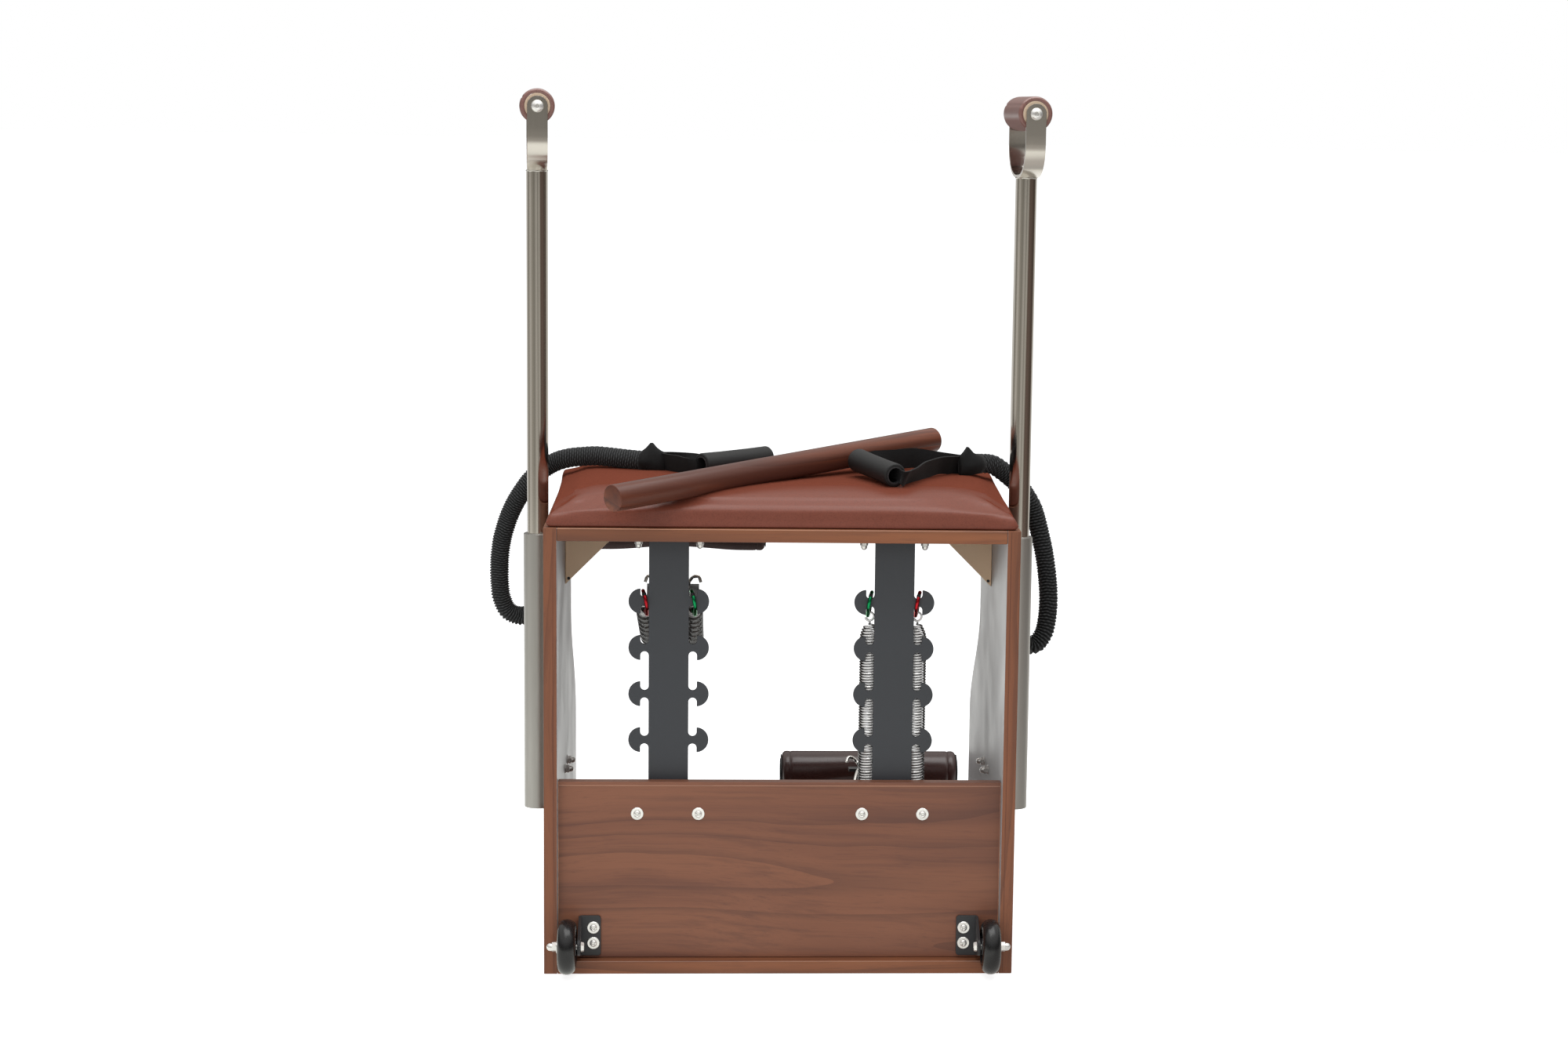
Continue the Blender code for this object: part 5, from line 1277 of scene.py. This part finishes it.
def build_poles():
    half = ROLLER_LENGTH / 2
    for side, sign in SIDES.items():
        turn = at(sign * POLE_X, POLE_Y, 0) @ turned(POLE_TURN[side], "Z")
        body, spin = side + "_pole", side + "_roller"
        bottom, wall = SLEEVE_BOTTOM_Z + 0.0063, POLE_RADIUS - 0.002
        profile = [(POLE_RADIUS - 0.0008, POLE_TOP_Z), (POLE_RADIUS, POLE_TOP_Z - 0.0008),
                   (POLE_RADIUS, bottom + 0.0008), (POLE_RADIUS - 0.0008, bottom), (wall, bottom),
                   (wall, POLE_TOP_Z)]
        piece(side + "_pole_tube", lathe(profile, 96, True, turn), "polished", body,
              side + "_handle_pole")
        bead = [Vector((0.0146 * cos(a), 0.0146 * sin(a), POLE_TOP_Z + 0.0002 + 0.0003 * sin(9 * a)))
                for a in circle(60)]
        weld = tube("weld", bead, 0.0011, 8, True)
        piece(side + "_fork_weld", tidy(weld, place=turn), "bright", body)
        fork = fork_mesh()
        fork.transform(turn)
        piece(side + "_fork_strap", fork, "fork", body, side + "_handle_fork", 0.0006, 2)
        lying = turn @ at(0, 0, FORK_AXLE_Z) @ FACING_REAR
        face = half + 0.001 + FORK_STRAP + TOUCH
        head = [(r, face + out)
                for r, out in mm("0 2.2, 2.6 2.2, 2.8 4.6, 4 5, 6.2 4.1, 8 2.2, 8.6 0.3, 8.6 0, 4 0")]
        piece(side + "_roller_bolt", lathe(mirrored(head), 32, False, lying), "zinc", body,
              side + "_roller_axle")
        core = mirrored([(0.0043, half - 0.0012), (0.009, half - 0.0012), (0.0095, half),
                         (CORE_RADIUS - 0.0006, half), (CORE_RADIUS, half - 0.0006)])
        piece(side + "_roller_tube", lathe(core, 64, True, lying), "core", spin,
              side + "_roller_core")
        cover = piece(side + "_roller_leather", tidy(cover_form(half), place=lying), "roller", spin,
                      side + "_roller_cover")


def cover_form(half):
    """The leather cover wound round the roller, rolled in at its ends, with its seam."""
    sides, inner, roll = 72, CORE_RADIUS + TOUCH, 0.0034
    stations = [(inner, half - 0.0008), (ROLLER_RADIUS - roll, half)]
    stations += [(ROLLER_RADIUS - roll + a, half - roll + b) for b, a in arc((0, 0), roll, 22, 90, 4)]
    stations = mirrored(stations + [(ROLLER_RADIUS, z) for z in (half - 0.008, half - 0.016, 0.02)])
    verts = []
    for radius, z in stations:
        for angle in circle(sides):
            r = radius
            if radius > inner + 0.001:
                seam = 0.0008 * exp(-((degrees(angle) - 150) / 3.0) ** 2)
                r += -seam + 0.0002 * noise.noise(Vector((z * 40, cos(angle) * 2, sin(angle) * 2)))
            verts.append(Vector((r * cos(angle), r * sin(angle), z)))
    return mesh_from("cover", verts, rows_closed(sides, len(stations), True))


# Transport wheels
def build_wheels():
    half, seat = WHEEL_WIDTH / 2, 0.0218
    for side, sign in SIDES.items():
        body = side + "_wheel"
        place = at(sign * WHEEL_X, WHEEL_Y, WHEEL_Z) @ turned(90 * sign, "Y")
        crown = WHEEL_RADIUS - seat - 0.003
        tread = [(seat + 0.003 + crown * max(0.0, a) ** 0.85, half * b)
                 for a, b in arc((0, 0), 1, 90, -90, 28)]
        piece(side + "_tyre", lathe(tread + [(seat, -half * 0.86), (seat, half * 0.86)], 96, True, place),
              "tyre", body, side + "_wheel_tyre")
        hub = mirrored([(0.0043, half), (0.0112, half), (0.012, half * 0.55), (0.0145, half * 0.5),
                        (seat - 0.0025, half * 0.84), (seat - 0.0003, half * 0.8)])
        piece(side + "_hub", lathe(hub, 64, True, place), "hub", body, side + "_wheel_hub")
        inner = -(half + WHEEL_GAP + BRACKET_THICK + TOUCH)
        rod = lathe([(0, half), (0.004, half), (0.004, inner), (0, inner)], 24)
        head = lathe([(0, inner), (0.0064, inner), (0.007, inner - 0.0008), (0.0062, inner - 0.0046),
                      (0, inner - 0.005)], 6)
        nut = cap_nut()
        nut.transform(at(0, 0, half + 0.0003) @ Matrix.Scale(1.2, 4))
        piece(side + "_axle_bolt", tidy(joined([rod, head, nut]), place=place), "zinc", "frame",
              side + "_wheel_axle")
        build_wheel_bracket(side, sign)


def build_wheel_bracket(side, sign):
    """Pressed angle: a plate with rounded corners and an ear that tapers to the axle."""
    thick, corner, w, h = BRACKET_THICK, 0.004, 0.015, 0.028
    plate_y = BACK_FACE_Y - TOUCH - thick / 2
    outline = []
    for cx, cz, start in ((w, -h, -90), (w, h, 0), (-w, h, 90), (-w, -h, 180)):
        outline += arc((cx - copysign(corner, cx), cz - copysign(corner, cz)), corner, start, start + 90, 6)
    place = at(sign * WHEEL_PLATE_X, plate_y, WHEEL_PLATE_Z) @ FACING_REAR
    plate = extruded(outline, -thick / 2, thick / 2, place)
    flange_face = WHEEL_X - WHEEL_WIDTH / 2 - WHEEL_GAP
    reach = plate_y + thick / 2 - WHEEL_Y
    ear = [(0, h - 0.001), (0, -h + 0.001), (-0.006, -h + 0.001)]
    ear += arc((-reach, WHEEL_Z - WHEEL_PLATE_Z), 0.012, 262, 90, 20) + [(-0.006, h - 0.001)]
    ear_place = at(sign * (flange_face - thick / 2), plate_y + thick / 2, WHEEL_PLATE_Z) @ FACING_SIDE
    piece(side + "_bracket_angle", joined([plate, extruded(ear, -thick / 2, thick / 2, ear_place)]), "black",
          "frame", side + "_wheel_bracket", 0.0006, 2)


# Resistance cords and their handles
def cord_points(side):
    points, _ = smooth_route([from_rear(p) for p in CORD_ROUTES[side]], CORD_STEP)
    points[0] += (points[1] - points[0]).normalized() * (ANCHOR_BALL + TOUCH)
    return points


def ruching(pitch, depth, seed):
    """Gathered cloth on an elastic core: close frills in staggered tufts round the cord."""
    def swell(distance, angle):
        drift = noise.noise(Vector((distance * 60, cos(angle) * 1.5 + seed, sin(angle) * 1.5)))
        turn = distance / pitch + 0.22 * sin(3 * angle + seed) + 0.25 * drift
        ridge = (0.5 + 0.5 * cos(2 * pi * turn)) ** 0.8
        stagger = pi * (floor(turn + 0.5) % 2)
        tuft = 0.5 + 0.5 * cos(13 * angle + stagger + 2.0 * drift)
        return depth * (ridge * (0.66 + 0.34 * tuft) - 0.8)
    return swell


def build_cords():
    for side in SIDES:
        points = cord_points(side)
        fine, length = smooth_route(points, 0.0007)
        frill = ruching(*((0.0037, 0.0026, 3.0) if side == "left" else (0.0047, 0.0034, 8.0)))
        mesh = tube(side + "_cord_sleeve", fine, CORD_RADIUS + 0.0005, 78, swell=frill)
        cord = piece(side + "_cord_sleeve", mesh, "cord", "frame", side + "_cord", angle=180)
        tuple(points[0])
        [tuple(p) for p in smooth_route(points, 0.013)[0]]


def ribbon(spine):
    """Flat webbing along its spine, leaning and widening as each spine point says."""
    points = [Vector(p) for p, _, _ in spine]
    route, _ = smooth_route(points, 0.003)
    knots, run = walked(points), walked(route)
    across, thickness, cup, width = 7, 0.002, 0.0009, 0.024
    verts, faces, uvs = [], [], []
    for i, p in enumerate(route):
        spot = run[i] / run[-1] * knots[-1]
        k = next((j for j in range(len(knots) - 1) if knots[j + 1] >= spot), len(knots) - 2)
        share = max(0.0, min(1.0, (spot - knots[k]) / max(1e-9, knots[k + 1] - knots[k])))
        share = share ** 2 * (3 - 2 * share)
        (_, lean, half), (_, next_lean, next_half) = spine[k], spine[k + 1]
        lift = Vector(lean).normalized().lerp(Vector(next_lean).normalized(), share)
        half += (next_half - half) * share
        t = (route[min(len(route) - 1, i + 1)] - route[max(0, i - 1)]).normalized()
        lift = (lift - t * lift.dot(t)).normalized()
        for j in range(across):
            offset = j / (across - 1) * 2 - 1
            verts.append(p + lift * offset * half + t.cross(lift) * cup * (1 - offset ** 2))
    w = width / (across - 1)
    for i in range(len(route) - 1):
        for j in range(across - 1):
            a = i * across + j
            faces.append((a, a + 1, a + across + 1, a + across))
            uvs += [(run[i], j * w), (run[i], (j + 1) * w), (run[i + 1], (j + 1) * w), (run[i + 1], j * w)]
    mesh = mesh_from("webbing", verts, faces, uvs)
    bm = bmesh.new()
    bm.from_mesh(mesh)
    bmesh.ops.recalc_face_normals(bm, faces=bm.faces)
    bmesh.ops.solidify(bm, geom=bm.faces[:], thickness=thickness)
    bmesh.ops.recalc_face_normals(bm, faces=bm.faces)
    return written(bm, mesh)


def build_handles():
    """Foam grips turning on their straps, which fold into the cords' sewn ends."""
    for side in SIDES:
        near, far = (from_rear(p) for p in GRIP_ENDS[side])
        lead = (far - near).normalized() * 0.003
        beside = lead.cross(Vector(UP)).normalized() * (-0.006 if side == "left" else 0.006)
        inside = [(spot + beside, UP, 0.008) for spot in (near - lead, (near + far) / 2, far + lead)]
        spine = [(from_rear(row[:3]), row[3:6], row[6]) for row in STRAP_SPINES[side]]
        piece(side + "_webbing", ribbon(inside + spine + inside[:1]), "webbing", "frame",
              side + "_handle_strap", angle=50)
        piece(side + "_cord_cuff", cuff_form(side), "webbing", "frame", angle=180)
        place, half = between(GRIP_ENDS[side])
        edge = 0.003
        profile = [(GRIP_BORE + 0.0006, half)] + [(GRIP_RADIUS - edge + a, half - edge + b)
                                                  for b, a in arc((0, 0), edge, 0, 90, 6)]
        sleeve = lathe(mirrored(profile + [(GRIP_RADIUS - 0.0005, half * 0.4)]), 72, True, place)
        grip = piece(side + "_grip_foam", sleeve, "foam", side + "_grip", side + "_cord_grip")
        lip = [(GRIP_BORE + out, half + along) for out, along in mm("1.2 0.6, 1.2 -6, -0.6 -6, -0.6 0.6")]
        rims = [lathe([(r, end * z) for r, z in lip], 48, True, place) for end in (1, -1)]
        piece(side + "_grip_core", joined(rims), "hub", side + "_grip")


def cuff_form(side):
    """The strap sewn round the cord's end: a hood that stands to a peak and narrows to the webbing."""
    points = cord_points(side)
    towards = (points[-1] - points[-2]).normalized()
    towards = Vector((towards.x, towards.y, 0)).normalized()
    across = Vector((-towards.y, towards.x, 0))
    r = CORD_RADIUS
    snug = r + 0.001
    # Each station: along the cord, reach upwards, downwards and to each side
    stations = {
        "left": [(-0.013, snug, snug, snug), (-0.006, 0.0195, snug, r + 0.0015), (0, 0.0265, 0.0148, snug),
                 (0.004, 0.0268, 0.0152, 0.012), (0.01, 0.0205, 0.015, 0.0095),
                 (0.016, 0.0165, 0.0145, 0.007), (0.023, 0.0138, 0.0138, 0.0042)],
        "right": [(-0.014, snug, snug, snug), (-0.005, r + 0.0016, r + 0.0014, r + 0.0014),
                  (0.002, 0.0175, 0.015, snug), (0.009, 0.025, 0.0155, 0.0115),
                  (0.013, 0.0262, 0.015, 0.01), (0.019, 0.02, 0.0145, 0.0075),
                  (0.027, 0.0145, 0.0138, 0.0042)],
    }[side]
    verts, sides = [], 48
    for out, up, down, wide in stations:
        for k in range(sides):
            a, b = cos(2 * pi * k / sides), sin(2 * pi * k / sides)
            tent = 1 - 0.55 * max(0.0, b) * (up - r) / r
            crease = 1 + 0.1 * sin(pi * 6 * k / sides + out * 190) * (up - r) / 0.012
            verts.append(points[-1] + towards * out + across * a * wide * tent * crease
                         + Vector(UP) * b * (up if b > 0 else down))
    faces = rows_closed(sides, len(stations), False)
    faces += [tuple(reversed(range(sides))), tuple(range(len(verts) - sides, len(verts)))]
    uvs = [(verts[v].x, verts[v].z) for face in faces for v in face]
    return tidy(mesh_from("cuff", verts, faces, uvs))


def build_anchors():
    """Ball studs on the side panels that the cords' ends seat on."""
    for side, sign in SIDES.items():
        ball = [(0, ANCHOR_REACH + ANCHOR_BALL)] + arc((0, ANCHOR_REACH), ANCHOR_BALL, 80, -40, 12)
        profile = ball + mm("5 9.5, 5 4.2, 11.8 3.8, 13 2.8, 13 0, 0 0")
        place = (at(sign * (FRAME_WIDTH / 2 + TOUCH), ANCHOR_Y, ANCHOR_Z)
                 @ turned(90 * sign, "Y"))
        piece(side + "_anchor_stud", lathe(profile, 40, False, place), "zinc", "frame",
              side + "_cord_anchor")


def build_rod():
    place, half = between(ROD_ENDS)
    rounding = 0.0016
    edge = [(ROD_RADIUS - rounding + a, half - rounding + b) for b, a in arc((0, 0), rounding, 0, 90, 4)]
    piece("joining_dowel", lathe(mirrored([(0, half)] + edge), 96, False, place), "rod_walnut", "rod",
          "joining_rod")


def main():
    build_camera()
    build_stage()
    build_light()
    build_effects()
    build_materials()
    TREES.update(fasteners=fastener_tree(), coil=coil_tree())
    for build in (build_cords, build_side_panels, build_boards, build_seat, build_posts, build_fasteners,
                  build_pedals, build_springs, build_sleeves, build_poles, build_wheels, build_handles,
                  build_anchors, build_rod):
        build()


main()
